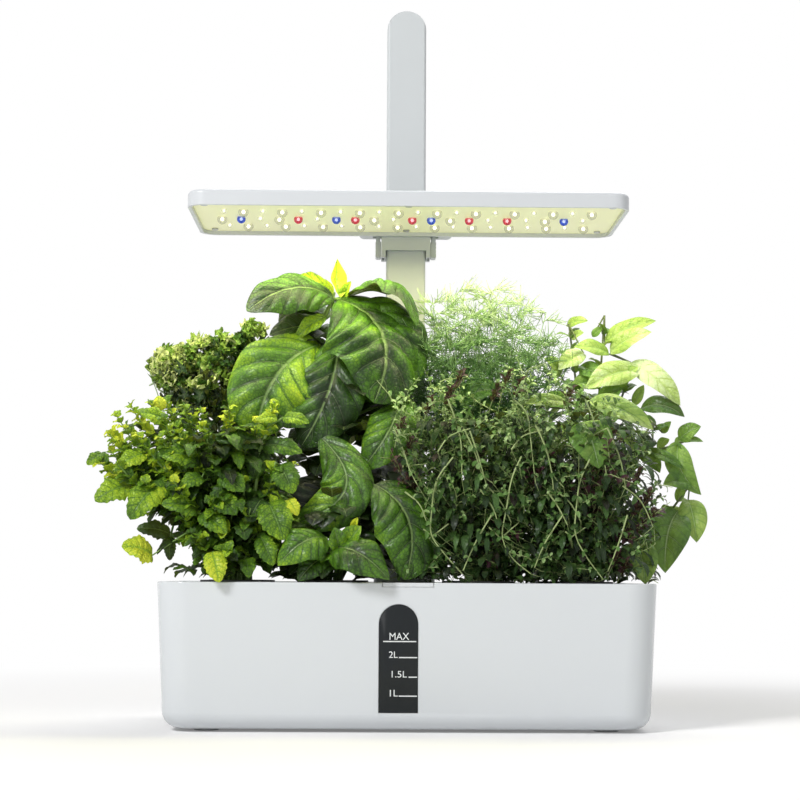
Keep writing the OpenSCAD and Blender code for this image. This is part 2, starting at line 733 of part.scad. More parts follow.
// Shallow housing, open below, with a round top edge
module lamp_housing() {
  r = 11;
  top_edge = 2.5;
  color(shell_white) translate([0, lamp_y, 0]) difference() {
    union() {
      difference() {
        hull() for (x = [-1, 1], y = [-1, 1])
          translate([x * (lamp_w / 2 - r), y * (lamp_d / 2 - r), lamp_z]) {
            cylinder(h = lamp_h - top_edge, r = r);
            translate([0, 0, lamp_h - top_edge]) rotate_extrude()
              translate([r - top_edge, 0]) circle(top_edge, $fn = 16);
          }
        translate([0, 0, lamp_z - 1])
          slab(lamp_w - 2 * lamp_rim, lamp_d - 2 * lamp_rim, inner_top - lamp_z + 1, r - lamp_rim);
      }
      for (p = board_screw_at) translate([p[0], p[1] - lamp_y, spreader_z + spreader_t])
        cylinder(h = inner_top - spreader_z - spreader_t + small, r = 3);
      for (p = tongue_screw_at) translate([p[0], p[1] - lamp_y, spreader_z + spreader_t])
        cylinder(h = inner_top - spreader_z - spreader_t + small, r = 2.8);
    }
    for (p = board_screw_at) translate([p[0], p[1] - lamp_y, board_z]) cylinder(h = 5.4, r = 1);
    for (p = tongue_screw_at) translate([p[0], p[1] - lamp_y, lamp_top - 4.6])
      cylinder(h = 6, r = 1);
    translate([button_at[0], button_at[1] - lamp_y, inner_top - 1])
      cylinder(h = housing_t + 2, r = button_r + 0.3);
  }
}

// Aluminium plate behind the board
module heat_spreader() {
  color(steel) board_plate(spreader_z, spreader_t);
}

module led_board() {
  color([0.95, 0.95, 0.9]) board_plate(board_z, board_t);
}

// Plate with the lamp's outline and its screw holes
module board_plate(z, t) {
  difference() {
    translate([0, lamp_y, z])
      slab(lamp_w - 2 * lamp_rim - 0.6, lamp_d - 2 * lamp_rim - 0.6, t, 8.3);
    for (p = board_screw_at) translate([p[0], p[1], z - 1]) cylinder(h = t + 2, r = 1.2);
  }
}

module board_screws() {
  color(steel) for (p = board_screw_at) translate([p[0], p[1], 0]) {
    translate([0, 0, board_z - 1]) cylinder(h = 1, r = 2.2);
    translate([0, 0, board_z - small]) cylinder(h = 5.2, r = 1);
  }
}

// LEDs: w white, o warm, b blue, r red, for the outer rows and the middle row
outer_leds = "wowowowowowowowowowo";
middle_row = ["o", "b", "w", "o", "r", "w", "b", "r", "o", "w",
  "r", "b", "o", "r", "w", "r", "w", "o", "b", "w"];

function led_kind(row, i) = row == 1 ? middle_row[i] : outer_leds[i];
function led_at(row, i) = [(i - 9.5 - (row == 1 ? 0.25 : 0)) * led_pitch, lamp_y + (row - 1) * led_row];

// All LEDs of one kind, on the underside of the board
module leds(kind, r) {
  for (row = [0 : 2], i = [0 : 19]) if (led_kind(row, i) == kind)
    translate([led_at(row, i)[0], led_at(row, i)[1], board_z]) led_dome(r);
}

// Clear dome over a chip, hanging from the board
module led_dome(r) {
  rotate_extrude($fn = 8) polygon([[0, 0], [0, -r], [0.6 * r, -0.8 * r], [r, 0]]);
}

module white_leds() {
  color([1, 1, 0.95]) leds("w", 1.5);
}

module warm_leds() {
  color([0.95, 0.9, 0.75]) leds("o", 2.4);
}

module blue_leds() {
  color([0.3, 0.4, 1]) leds("b", 2.3);
}

module red_leds() {
  color([1, 0.35, 0.35]) leds("r", 2.3);
}

// Driver with the mode switch below the button
module driver_board() {
  z = spreader_z + spreader_t;
  color([0.1, 0.35, 0.2]) {
    translate([button_at[0] - 30, button_at[1] - 12, z]) cube([60, 24, 0.8]);
    translate([button_at[0] - 3, button_at[1] - 3, z])
      cube([6, 6, flange_z - button_travel - z]);
    translate([button_at[0] - 24, button_at[1] - 6, z]) cube([12, 12, 2.4]);
    for (i = [0 : 2]) translate([button_at[0] + 14 + 5 * i, button_at[1], z])
      cylinder(h = 2.4, r = 2);
  }
}

// Push button with a flange under the housing's top
module mode_button() {
  color(part_white) translate([button_at[0], button_at[1], 0]) {
    rotate_extrude() polygon([[0, flange_z], [button_r + 1.2, flange_z],
      [button_r + 1.2, inner_top - 0.1], [button_r, inner_top - 0.1], [button_r, lamp_top + 0.9],
      [button_r - 0.6, lamp_top + 1.4], [0, lamp_top + 1.2]]);
  }
}

// ---------- pods ----------

// Grow basket: tapered cup with a flange, slots round its wall and a floor grid
module basket(i) {
  slots = 8;
  color(dark) translate([pods[i][0], pods[i][1], deck_top]) difference() {
    rotate_extrude() polygon([[0, -basket_h], [basket_foot, -basket_h], [basket_r, 0],
      [basket_r + flange_w, 0], [basket_r + flange_w, flange_t], [basket_r - basket_wall, flange_t],
      [basket_r - basket_wall, 0], [basket_foot - basket_wall, basket_floor - basket_h],
      [0, basket_floor - basket_h]]);
    for (k = [0 : slots - 1]) rotate([0, 0, (k + 0.5) * 360 / slots])
      translate([basket_foot - 4, -1.6, -basket_h + 5]) cube([12, 3.2, basket_h - 16]);
    for (k = [0 : 3]) rotate([0, 0, k * 90]) translate([3, -1.2, -basket_h - 1]) cube([8, 2.4, 4]);
  }
}

// Peat sponge that fills the basket, slit for the seedling
module sponge(i) {
  foot = basket_floor - basket_h;
  head = sponge_top - deck_top;
  inner = basket_foot - basket_wall - 0.2;
  slope = (basket_r - basket_foot) / basket_h;
  color([0.25, 0.17, 0.1]) translate([pods[i][0], pods[i][1], deck_top]) difference() {
    rotate_extrude() polygon([[0, foot], [inner, foot], [inner + slope * (head - foot), head],
      [0, head]]);
    translate([0, -0.5, head - 7]) cube([30, 1, 8]);
  }
}

// ---------- herbs ----------

// Solid leaf: a four-sided section swept from its foot over its rings to its tip
module leaf_solid(foot, mids, sides, ups, halves, tip, thick) {
  rings = len(mids);
  ring = [for (k = [0 : rings - 1], q = [0 : 3])
    mids[k] + (q == 0 ? sides[k] * halves[k] - ups[k] * halves[k] * 0.15
      : q == 1 ? ups[k] * thick / 2
      : q == 2 ? sides[k] * -halves[k] - ups[k] * halves[k] * 0.15
      : ups[k] * -thick / 2)];
  last = 4 * rings + 1;
  polyhedron(
    concat([foot], ring, [tip]),
    concat(
      [for (q = [0 : 3]) [0, 1 + q, 1 + (q + 1) % 4]],
      [for (k = [0 : rings - 2], q = [0 : 3], h = [0, 1])
        let (a = 1 + 4 * k + q, b = 1 + 4 * k + (q + 1) % 4)
          h == 0 ? [a, a + 4, b + 4] : [a, b + 4, b]],
      [for (q = [0 : 3]) [last - 4 + q, last, last - 4 + (q + 1) % 4]]));
}

// Half width of a leaf at u, from 0 at its foot to 1 at its tip
function half_at(width, u) = width / 2 * pow(sin(180 * pow(u, 0.75)), 0.8);

// Leaf along +X on a drooping midrib
module leaf(length, width, pitch, droop, rings, thick = 1) {
  d = droop * PI / 180;
  function mid(u) = [length * (sin(pitch) - sin(pitch - droop * u)) / d, 0,
    length * (cos(pitch - droop * u) - cos(pitch)) / d];
  us = [for (k = [1 : rings]) k / (rings + 1)];
  leaf_solid([0, 0, 0], [for (u = us) mid(u)], [for (u = us) [0, 1, 0]],
    [for (u = us) [-sin(pitch - droop * u), 0, cos(pitch - droop * u)]],
    [for (u = us) half_at(width, u)], mid(1), thick);
}

// Leaf from foot to tip that arches up off the line between them, its face one way
module blade(foot, tip, width, face, arch = 0.15, rings = 3, thick = 1.4) {
  chord = tip - foot;
  length = norm(chord);
  up = face - chord * (face * chord) / (length * length);
  lift = up / norm(up);
  side = cross(lift, chord) / length;
  us = [for (k = [1 : rings]) k / (rings + 1)];
  leaf_solid(foot, [for (u = us) foot + chord * u + lift * arch * length * 4 * u * (1 - u)],
    [for (u = us) side], [for (u = us) lift], [for (u = us) half_at(width, u)], tip, thick);
}

// Eight-faced bead, the end of a stretch of stem
module bead(r) {
  polyhedron([[r, 0, 0], [0, r, 0], [-r, 0, 0], [0, -r, 0], [0, 0, r], [0, 0, -r]],
    [[0, 4, 1], [1, 4, 2], [2, 4, 3], [3, 4, 0], [1, 5, 0], [2, 5, 1], [3, 5, 2], [0, 5, 3]]);
}

// Joint k of a stem that leaves its foot upright and bends over to its tip
stem_parts = 3;
function joint(foot, tip, k) =
  let (t = k / stem_parts,
    knee = [foot[0] + 0.25 * (tip[0] - foot[0]), foot[1] + 0.25 * (tip[1] - foot[1]),
      foot[2] + 0.75 * (tip[2] - foot[2])])
  pow(1 - t, 2) * foot + 2 * t * (1 - t) * knee + t * t * tip;

// Point at t on the stem's straight stretches
function on_stem(foot, tip, t) =
  let (k = min(floor(t * stem_parts), stem_parts - 1), u = t * stem_parts - k)
  (1 - u) * joint(foot, tip, k) + u * joint(foot, tip, k + 1);

// Where on the stem a share of its height is reached
function at_rise(share) = 1.5 - sqrt(2.25 - 2 * min(max(share, 0.1), 0.98));

module stem(foot, tip, r) {
  for (k = [0 : stem_parts - 1]) hull() {
    translate(joint(foot, tip, k)) bead(r * (1 - 0.5 * k / stem_parts));
    translate(joint(foot, tip, k + 1)) bead(r * (1 - 0.5 * (k + 1) / stem_parts));
  }
}

// Stem with pairs of leaves, each pair turned a right angle from the last
module leafy(foot, tip, nodes, length, width, pitch, droop, rings, turn, bare = 0.3, thick = 1) {
  stem(foot, tip, 1.3);
  for (k = [0 : nodes - 1]) {
    t = bare + (1 - bare) * k / max(nodes - 1, 1);
    grow = k == nodes - 1 ? 0.75 : 1;
    for (s = [0, 1]) translate(on_stem(foot, tip, t))
      rotate([0, 0, turn + 90 * k + 180 * s])
        leaf(length * grow, width * grow, pitch, droop, rings, thick);
  }
}

// Rooms of the herbs: what keeps each one clear of its neighbours, the boot and the lamp
herb_low = deck_top + flange_t + 0.5;
lamp_clear = lamp_z - 19;
boot_clear = mast_front - 6.5;
front_clear = front_row - 56;
rear_clear = rear_row + 64;
far_left = -pod_x[3] - 95;
far_right = pod_x[3] + 95;
low_top = 152;
mint_top = 206;
apart = 0.6;

function room(x0, x1, y0, y1, z0, z1) = [[x0, y0, z0], [x1, y1, z1]];
function front_room(x0, x1, top) =
  room(x0, x1, front_clear, split_y - apart / 2, herb_low, top);
function rear_room(x0, x1, back, top) = room(x0, x1, split_y + apart / 2, back, herb_low, top);
// Room over the front row
function high_room(x0, x1, low, top) = room(x0, x1, front_clear + 8, split_y + 1, low, top);

function crown(i) = [pods[i][0], pods[i][1], sponge_top];

// Grows a herb from its crown, inside its rooms and its basket's mouth
module grown(i, rooms) {
  intersection() {
    translate(crown(i)) scale(herb_h / 210) {
      cylinder(h = 3, r1 = 9, r2 = 6, $fn = 8);
      children();
    }
    union() {
      for (b = rooms) translate(b[0]) cube(b[1] - b[0]);
      translate(crown(i)) cylinder(h = 6, r = 13, $fn = 16);
    }
  }
}

// Foot of stem k of n, in a ring on the crown
function foot_of(k, n) = 3.6 * [cos(360 * k / n), sin(360 * k / n), 0.4];

leaf_green = [0.2, 0.42, 0.12];
pale_green = [0.5, 0.7, 0.25];
front_face = [0, -1, 0.65];
rear_face = [0, 1, 1];

// Bushy herb: one leafy stem for each tip, measured from the crown
module bushy(tips, nodes, length, width, pitch, droop, rings, turn, bare, thick) {
  n = len(tips);
  for (k = [0 : n - 1])
    leafy(foot_of(k, n), tips[k], nodes, length, width, pitch, droop, rings, turn * k, bare, thick);
}

// Open herb: stems to their tips, and leaves [stem, foot, tip, width] turned one way
module stems(tips, r) {
  n = len(tips);
  for (k = [0 : n - 1]) stem(foot_of(k, n), tips[k], r);
}
module leaves(tips, list, face, rings = 3) {
  n = len(tips);
  for (l = list) {
    foot = foot_of(l[0], n);
    tip = tips[l[0]];
    hull() {
      translate(on_stem(foot, tip, at_rise(l[1][2] / tip[2] - 0.03))) bead(1);
      translate(l[1]) bead(1);
    }
    blade(l[1], l[2], l[3], face, rings = rings);
  }
}

module mint() {
  color(leaf_green) grown(0, [front_room(far_left, -split_x - 3, mint_top)])
    bushy([[-19, 14, 115], [-74, -4, 96], [-72, -26, 49], [-23, -38, 61], [7, -22, 95]],
      3, 31, 22, 25, 60, 2, 40, 0.42, 1.2);
}

module small_basil() {
  color(leaf_green)
    grown(1, [front_room(apart - split_x - 3, pod_x[2] - 27, low_top - apart)])
      bushy([[33, -8, 59], [-1, 6, 57], [-17, -28, 41], [23, -34, 41]],
        2, 40, 27, 15, 75, 3, 50, 0.6, 1.4);
}

module thyme() {
  color([0.16, 0.28, 0.14])
    grown(2, [front_room(pod_x[2] - 27 + apart, split_x - apart / 2, mint_top)])
      bushy([[19, 0, 117], [-9, 8, 115], [-19, -24, 83], [1, -38, 97], [21, -34, 65]],
        4, 21, 11, 30, 40, 1, 35, 0.3, 2);
}

module creeping_thyme() {
  color([0.16, 0.28, 0.14])
    grown(3, [front_room(split_x + apart / 2, 2 * split_x + apart, mint_top)])
      bushy([[39, -4, 83], [15, 10, 113], [-15, -4, 117], [3, -38, 91], [35, -34, 43]],
        4, 21, 11, 30, 40, 1, 35, 0.3, 2);
}

module parsley() {
  color([0.22, 0.45, 0.16])
    grown(4, [rear_room(far_left + 18, -split_x - 26 - apart, rear_clear, 262)])
      bushy([[-5, 6, 157], [-29, 32, 151], [-59, 14, 137], [-45, -10, 155], [-17, -12, 165]],
        3, 20, 17, 35, 70, 2, 30, 0.7, 1.6);
}

// Tall basil: one stem whose big leaves hang out over the front row
module basil() {
  tips = [[-3, -10, 188], [-36, -14, 146], [38, -18, 130]];
  color([0.16, 0.4, 0.1]) grown(5, [
    rear_room(-split_x - 26, 6, boot_clear, lamp_clear),
    high_room(apart - split_x - 3, 6, low_top, lamp_clear),
    high_room(-split_x - 26, 6, mint_top + apart, lamp_clear)]) {
      stems(tips, 1.8);
      leaves(tips, [
        [0, [4, -20, 182], [37, -56, 113], 54], [0, [3, -12, 187], [49, -34, 166], 34],
        [0, [-3, -18, 186], [-54, -50, 171], 42], [0, [-4, -8, 188], [-46, -2, 191], 34],
        [0, [-1, -18, 187], [-4, -16, 210], 9], [0, [-7, -14, 173], [-41, -20, 155], 30],
        [0, [10, -12, 183], [46, -32, 119], 36], [1, [-17, -24, 143], [-54, -26, 119], 36],
        [0, [1, -26, 137], [-17, -42, 103], 31], [2, [36, -26, 122], [18, -50, 74], 29],
        [0, [6, -28, 107], [-19, -40, 78], 25], [0, [4, -22, 90], [-17, -26, 40], 29],
        [1, [-30, -24, 113], [-54, -26, 91], 28]], front_face);
      leaves(tips, [
        [0, [1, -4, 177], [27, 22, 161], 40], [0, [-5, -4, 155], [-39, 22, 137], 38],
        [0, [5, -4, 129], [31, 20, 109], 34], [0, [-1, -4, 105], [-33, 20, 87], 34],
        [0, [5, -2, 77], [33, 16, 57], 28], [0, [-1, -2, 65], [-29, 18, 45], 28]], rear_face);
    }
}

// Dill: bare stems that end in whorls of threads
module dill() {
  stem_count = 7;
  threads = 6;
  color([0.45, 0.62, 0.35])
    grown(6, [rear_room(6 + 1, split_x + 25, boot_clear, lamp_clear)])
      for (k = [0 : stem_count - 1]) {
        foot = foot_of(k, stem_count);
        turn = 360 * k / stem_count;
        tip = [7 + 36 * cos(turn), 20 * sin(turn) - 2, 183 + 14 * sin(150 * k)];
        stem(foot, tip, 1.1);
        for (q = [0 : threads - 1]) translate(on_stem(foot, tip, 0.58 + 0.4 * q / threads))
          rotate([0, 0, 137 * q]) leaf(34 - 2 * q, 2.6, 45, 30, 1, 1.2);
      }
}

// Lemon basil: open stems with long light leaves that droop over the tank's right side
module lemon_basil() {
  tips = [[24, -4, 176], [42, -14, 143], [69, -26, 96], [72, -36, 58], [2, -4, 168],
    [14, 26, 130], [52, 20, 110]];
  color(pale_green) grown(7, [
    rear_room(split_x + 25 + apart, far_right, rear_clear, 268),
    high_room(split_x + 25 + apart, far_right, mint_top + apart, 268),
    room(2 * split_x + 2 * apart, far_right, front_row - 26, split_y + 1, herb_low, 240)]) {
      stems(tips, 1.4);
      leaves(tips, [
        [0, [24, -6, 159], [56, -16, 172], 13], [0, [27, -8, 152], [52, -22, 164], 15],
        [0, [26, -10, 151], [2, -20, 154], 13], [4, [2, -2, 171], [13, -6, 173], 9],
        [1, [42, -16, 140], [10, -28, 127], 17], [1, [42, -14, 145], [69, -28, 116], 16],
        [1, [20, -18, 117], [32, -28, 127], 16], [1, [14, -20, 112], [51, -27, 96], 18],
        [1, [45, -18, 115], [72, -26, 109], 15], [2, [69, -22, 95], [82, -28, 103], 13],
        [2, [70, -26, 93], [86, -38, 59], 17], [3, [73, -36, 67], [55, -44, 65], 15],
        [3, [72, -36, 56], [75, -48, 29], 17], [3, [65, -36, 49], [54, -50, 10], 27]],
        front_face, 2);
      leaves(tips, [
        [0, [24, 2, 150], [40, 30, 138], 20], [4, [8, 4, 140], [4, 32, 124], 20],
        [6, [48, 16, 104], [72, 30, 92], 20], [5, [14, 22, 128], [30, 48, 116], 20],
        [5, [10, 20, 100], [0, 46, 86], 18], [6, [40, 14, 86], [60, 34, 70], 20],
        [2, [56, -14, 80], [82, 8, 68], 18], [5, [8, 14, 72], [26, 36, 56], 18]],
        rear_face, 2);
    }
}

// ---------- assembly ----------

tank();
tank_feet();
level_window();
window_gasket();
grow_deck();
fill_flap();
flap_pin();
flap_spring();
mast();
mast_boot();
mast_screws();
contact_strips();
power_inlet();
pump_motor();
pump_strainer();
pump_riser();
impeller();
carriage();
carriage_cover();
carriage_screws();
carriage_contacts();
lever_left();
lever_right();
lever_pins();
lever_spring_left();
lever_spring_right();
lamp_housing();
heat_spreader();
led_board();
white_leds();
warm_leds();
blue_leds();
red_leds();
driver_board();
board_screws();
mode_button();
for (i = [0 : 7]) {
  basket(i);
  sponge(i);
}
mint();  // plant_mint
small_basil();  // plant_small_basil
thyme();  // plant_thyme
creeping_thyme();  // plant_creeping_thyme
parsley();  // plant_parsley
basil();  // plant_basil
dill();  // plant_dill
lemon_basil();  // plant_lemon_basil
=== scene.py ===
import json
import math
import random

import bmesh
import bpy
from mathutils import Matrix, Vector
from mathutils.geometry import interpolate_bezier


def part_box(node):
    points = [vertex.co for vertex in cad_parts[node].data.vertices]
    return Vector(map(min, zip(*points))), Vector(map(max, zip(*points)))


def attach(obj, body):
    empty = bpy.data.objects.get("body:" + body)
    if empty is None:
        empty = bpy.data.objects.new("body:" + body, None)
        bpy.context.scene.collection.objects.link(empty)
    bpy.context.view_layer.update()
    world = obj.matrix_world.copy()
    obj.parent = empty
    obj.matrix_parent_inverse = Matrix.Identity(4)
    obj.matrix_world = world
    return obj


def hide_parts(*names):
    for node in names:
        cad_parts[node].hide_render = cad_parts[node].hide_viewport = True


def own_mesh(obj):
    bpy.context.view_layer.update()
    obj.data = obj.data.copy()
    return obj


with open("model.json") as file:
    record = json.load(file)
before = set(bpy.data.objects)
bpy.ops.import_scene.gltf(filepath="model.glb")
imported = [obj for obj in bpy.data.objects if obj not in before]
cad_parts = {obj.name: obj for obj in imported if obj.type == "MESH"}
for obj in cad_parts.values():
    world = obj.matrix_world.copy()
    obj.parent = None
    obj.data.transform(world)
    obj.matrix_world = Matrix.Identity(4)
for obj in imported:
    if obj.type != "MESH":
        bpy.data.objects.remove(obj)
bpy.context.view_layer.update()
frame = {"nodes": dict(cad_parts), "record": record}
MM = 0.001


# ---------- studio ----------
# Pale table top that runs off into a white room, with large soft lamps. Two upright
# lamps at the sides give the glossy tank's corners a bright strip each. The camera
# stands a little above the table and looks slightly up.

CAMERA_AT = (-0.022, -1.175, 0.093)
CAMERA_YAW, CAMERA_PITCH, CAMERA_ROLL = -0.867, 5.4, 0.3
CAMERA_LENS = 83.3

camera = bpy.data.objects.new("camera", bpy.data.cameras.new("camera"))
camera.data.sensor_width = 36
camera.data.lens = CAMERA_LENS
camera.data.clip_end = 30
camera.matrix_world = (
    Matrix.Translation(CAMERA_AT)
    @ Matrix.Rotation(math.radians(CAMERA_YAW), 4, "Z")
    @ Matrix.Rotation(math.radians(90 + CAMERA_PITCH), 4, "X")
    @ Matrix.Rotation(math.radians(CAMERA_ROLL), 4, "Z")
)
bpy.context.collection.objects.link(camera)
bpy.context.scene.camera = camera
bpy.context.scene.view_settings.view_transform = "Standard"


def soft_lamp(name, at, aim, size, watts, colour=(1, 1, 1)):
    """Rectangular lamp at a point, turned towards another; the camera doesn't see it."""
    light = bpy.data.lights.new(name, "AREA")
    light.shape = "RECTANGLE"
    light.size, light.size_y = size
    light.energy = watts
    light.color = colour
    lamp = bpy.data.objects.new(name, light)
    lamp.visible_camera = False
    away = Vector(at) - Vector(aim)
    lamp.matrix_world = Matrix.Translation(at) @ away.to_track_quat("Z", "Y").to_matrix().to_4x4()
    bpy.context.collection.objects.link(lamp)
    return lamp


soft_lamp("key", (-1.2, -1.5, 1.7), (0, 0, 0.15), (0.6, 0.6), 39)
soft_lamp("fill", (1.7, -1.1, 1.0), (0, 0, 0.15), (1.2, 1.6), 4.5)
soft_lamp("top", (0.5, 0.9, 2.0), (0, 0, 0.2), (1.6, 1.2), 25)
soft_lamp("left_strip", (-0.62, -1.5, 0.35), (0, 0, 0.05), (0.7, 1.4), 5)
soft_lamp("right_strip", (1.55, -1.02, 0.3), (0, 0, 0.05), (0.05, 1.3), 1.1)


def step(owner, kind, *feeds, **settings):
    """Adds a node, sets its options, feeds its inputs in order, gives its first output."""
    node = owner.node_tree.nodes.new(kind)
    for option, value in settings.items():
        setattr(node, option, value)
    for socket, value in zip(node.inputs, feeds):
        if isinstance(value, bpy.types.NodeSocket):
            feed(owner, socket, value)
        elif value is not None:
            socket.default_value = value
    return node.outputs[0]


def feed(owner, socket, output):
    owner.node_tree.links.new(output, socket)


def show(owner, shader):
    """Makes a shader the surface of a material or of the world."""
    out = next(n for n in owner.node_tree.nodes if n.type.startswith("OUTPUT"))
    feed(owner, out.inputs["Surface"], shader)


def maths(owner, operation, *feeds):
    return step(owner, "ShaderNodeMath", *feeds, operation=operation)


def remap(owner, *feeds, **settings):
    return step(owner, "ShaderNodeMapRange", *feeds, **settings)


def own_place(owner):
    return step(owner, "ShaderNodeTexCoord").node.outputs["Object"]


def new_material(name):
    made = bpy.data.materials.new(name)
    made.use_nodes = True
    return made, made.node_tree.nodes["Principled BSDF"].inputs


def seen_directly(owner):
    """Is 1 for rays from the camera and for those that a gloss or a lens sends on."""
    rays = step(owner, "ShaderNodeLightPath").node.outputs
    seen = maths(owner, "MAXIMUM", rays["Is Camera Ray"], rays["Is Glossy Ray"])
    return maths(owner, "MAXIMUM", seen, rays["Is Transmission Ray"])


room = bpy.data.worlds.new("room")
room.use_nodes = True
bpy.context.scene.world = room
ambient = step(room, "ShaderNodeBackground", (0.93, 0.97, 1.0, 1), 0.13)
backdrop = step(room, "ShaderNodeBackground", (1, 1, 1, 1))
show(room, step(room, "ShaderNodeMixShader", seen_directly(room), ambient, backdrop))

SHADOW_REACH, WHITE_FROM = 0.25, 0.8  # the floor fades to white between them, in metres
floor_paint, skin = new_material("floor_paint")
skin["Base Color"].default_value = (0.8, 0.8, 0.8, 1)
skin["Roughness"].default_value = 0.9
shadowed = step(floor_paint, "ShaderNodeAddShader",
                step(floor_paint, "ShaderNodeBsdfDiffuse", (0.8, 0.79, 0.79, 1)),
                step(floor_paint, "ShaderNodeEmission", (1, 1, 1, 1), 0.17))
off = step(floor_paint, "ShaderNodeVectorMath", own_place(floor_paint), operation="LENGTH")
fade = remap(floor_paint, off.node.outputs["Value"], SHADOW_REACH, WHITE_FROM,
             interpolation_type="SMOOTHSTEP")
white = step(floor_paint, "ShaderNodeEmission")
seen = step(floor_paint, "ShaderNodeMixShader", fade, shadowed, white)
show(floor_paint, step(floor_paint, "ShaderNodeMixShader", seen_directly(floor_paint),
                       skin["Base Color"].node.outputs[0], seen))

bm = bmesh.new()
bmesh.ops.create_grid(bm, x_segments=2, y_segments=2, size=7)
floor_mesh = bpy.data.meshes.new("floor")
bm.to_mesh(floor_mesh)
bm.free()
floor_mesh.materials.append(floor_paint)
floor = bpy.data.objects.new("floor", floor_mesh)
bpy.context.collection.objects.link(floor)


# ---------- tank ----------
# Two-litre water tank of glossy white plastic, moulded in one piece: walls that lean
# in a little, round corners, a round bottom edge and a ledge inside the rim. It is a
# beveled block, hollowed, with a pocket for the window and a notch for the deck's lip.

def blend(material, factor, first, second):
    """Mixes two colours, each a socket or an RGB triple."""
    node = step(material, "ShaderNodeMix", data_type="RGBA").node
    for name, value in (("Factor_Float", factor), ("A_Color", first), ("B_Color", second)):
        socket = next(i for i in node.inputs if i.identifier == name)
        if isinstance(value, bpy.types.NodeSocket):
            feed(material, socket, value)
        else:
            socket.default_value = (*value, 1) if isinstance(value, tuple) else value
    return next(o for o in node.outputs if o.identifier == "Result_Color")


def shades(material, factor, stops):
    """Colour ramp through (position, RGB) stops."""
    out = step(material, "ShaderNodeValToRGB", factor)
    ramp = out.node.color_ramp
    while len(ramp.elements) < len(stops):
        ramp.elements.new(0.5)
    for element, (position, colour) in zip(ramp.elements, stops):
        element.position = position
        element.color = (*colour, 1)
    return out


def speckle(material, scale, detail=2.0, stretch=None):
    """Noise over the object's own space; stretch squeezes it along an axis."""
    place = own_place(material)
    if stretch:
        place = step(material, "ShaderNodeMapping", place, None, None, stretch)
    return step(material, "ShaderNodeTexNoise", place, None, scale, detail)


def emboss(material, skin, strength, depth, height):
    """Raises a skin by a height, over a depth in metres."""
    bump = step(material, "ShaderNodeBump", strength, depth)
    feed(material, bump.node.inputs["Height"], height)
    feed(material, skin["Normal"], bump)


def plastic(name, colour, rough, cloud=0.02, peel=0.03, pores=1400):
    """Moulded plastic: nearly even colour, patchy gloss and a faint orange peel."""
    made, skin = new_material(name)
    patches = speckle(made, 14, 3)
    dull = tuple(c * (1 - cloud) for c in colour)
    clear = tuple(min(1, c * (1 + cloud)) for c in colour)
    feed(made, skin["Base Color"], blend(made, patches, dull, clear))
    feed(made, skin["Roughness"], remap(made, patches, 0.0, 1.0, rough * 0.85, rough * 1.2))
    emboss(made, skin, peel, 0.0002, speckle(made, pores))
    return made


def piece(name, bm, material, body, replaces=(), smooth=math.radians(35)):
    """Turns a bmesh into a named piece on a body, smooth but for its sharp edges."""
    bm.normal_update()
    for f in bm.faces:
        f.smooth = True
    for e in bm.edges:
        e.smooth = len(e.link_faces) != 2 or e.calc_face_angle(0) < smooth
    mesh = bpy.data.meshes.new(name)
    bm.to_mesh(mesh)
    bm.free()
    for m in material if isinstance(material, (list, tuple)) else [material]:
        mesh.materials.append(m)
    made = bpy.data.objects.new(name, mesh)
    bpy.context.collection.objects.link(made)
    if body:
        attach(made, body)
    if replaces:
        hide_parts(*replaces)
    return made


def block(bm, low, high):
    """Box between two corners, in metres."""
    made = bmesh.ops.create_cube(bm, size=1)["verts"]
    size = [h - l for l, h in zip(low, high)]
    middle = [(h + l) / 2 for l, h in zip(low, high)]
    bmesh.ops.scale(bm, vec=size, verts=made)
    bmesh.ops.translate(bm, vec=middle, verts=made)


def along(bm, axis):
    """Edges that run along one axis (0, 1, 2)."""
    return [e for e in bm.edges
            if abs((e.verts[1].co - e.verts[0].co).normalized()[axis]) > 0.9]


def round_off(bm, edges, radius, segments):
    bmesh.ops.bevel(bm, geom=edges, offset=radius, segments=segments, profile=0.5,
                    affect="EDGES", material=-1, clamp_overlap=True)


def baked(thing):
    """Mesh of an object as its modifiers, or a curve's settings, make it."""
    bpy.context.view_layer.update()
    return bpy.data.meshes.new_from_object(
        thing.evaluated_get(bpy.context.evaluated_depsgraph_get()))


def cut_out(target, cutter):
    """Takes the cutter's volume out of the target and drops the cutter."""
    cut = target.modifiers.new("cut", "BOOLEAN")
    cut.object = cutter
    cut.solver = "EXACT"
    cut_mesh = baked(target)
    target.modifiers.remove(cut)
    old, target.data = target.data, cut_mesh
    bpy.data.meshes.remove(old)
    bpy.data.objects.remove(cutter)


tank_low, tank_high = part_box("tank")
RIM = tank_high.z
TANK_LEAN, WALL, CORNER, EDGE = 3.5 * MM, 2.6 * MM, 19 * MM, 10 * MM
WALL_FOOT = tank_low.z + EDGE
LEAN_ANGLE = math.atan(TANK_LEAN / (RIM - 1 * MM - WALL_FOOT))
ON_FRONT = (Matrix.Translation((0, tank_low.y + TANK_LEAN, WALL_FOOT))
            @ Matrix.Rotation(LEAN_ANGLE, 4, "X"))

tank_white = plastic("tank_white", (0.70, 0.725, 0.75), 0.16, 0.01, 0.02)

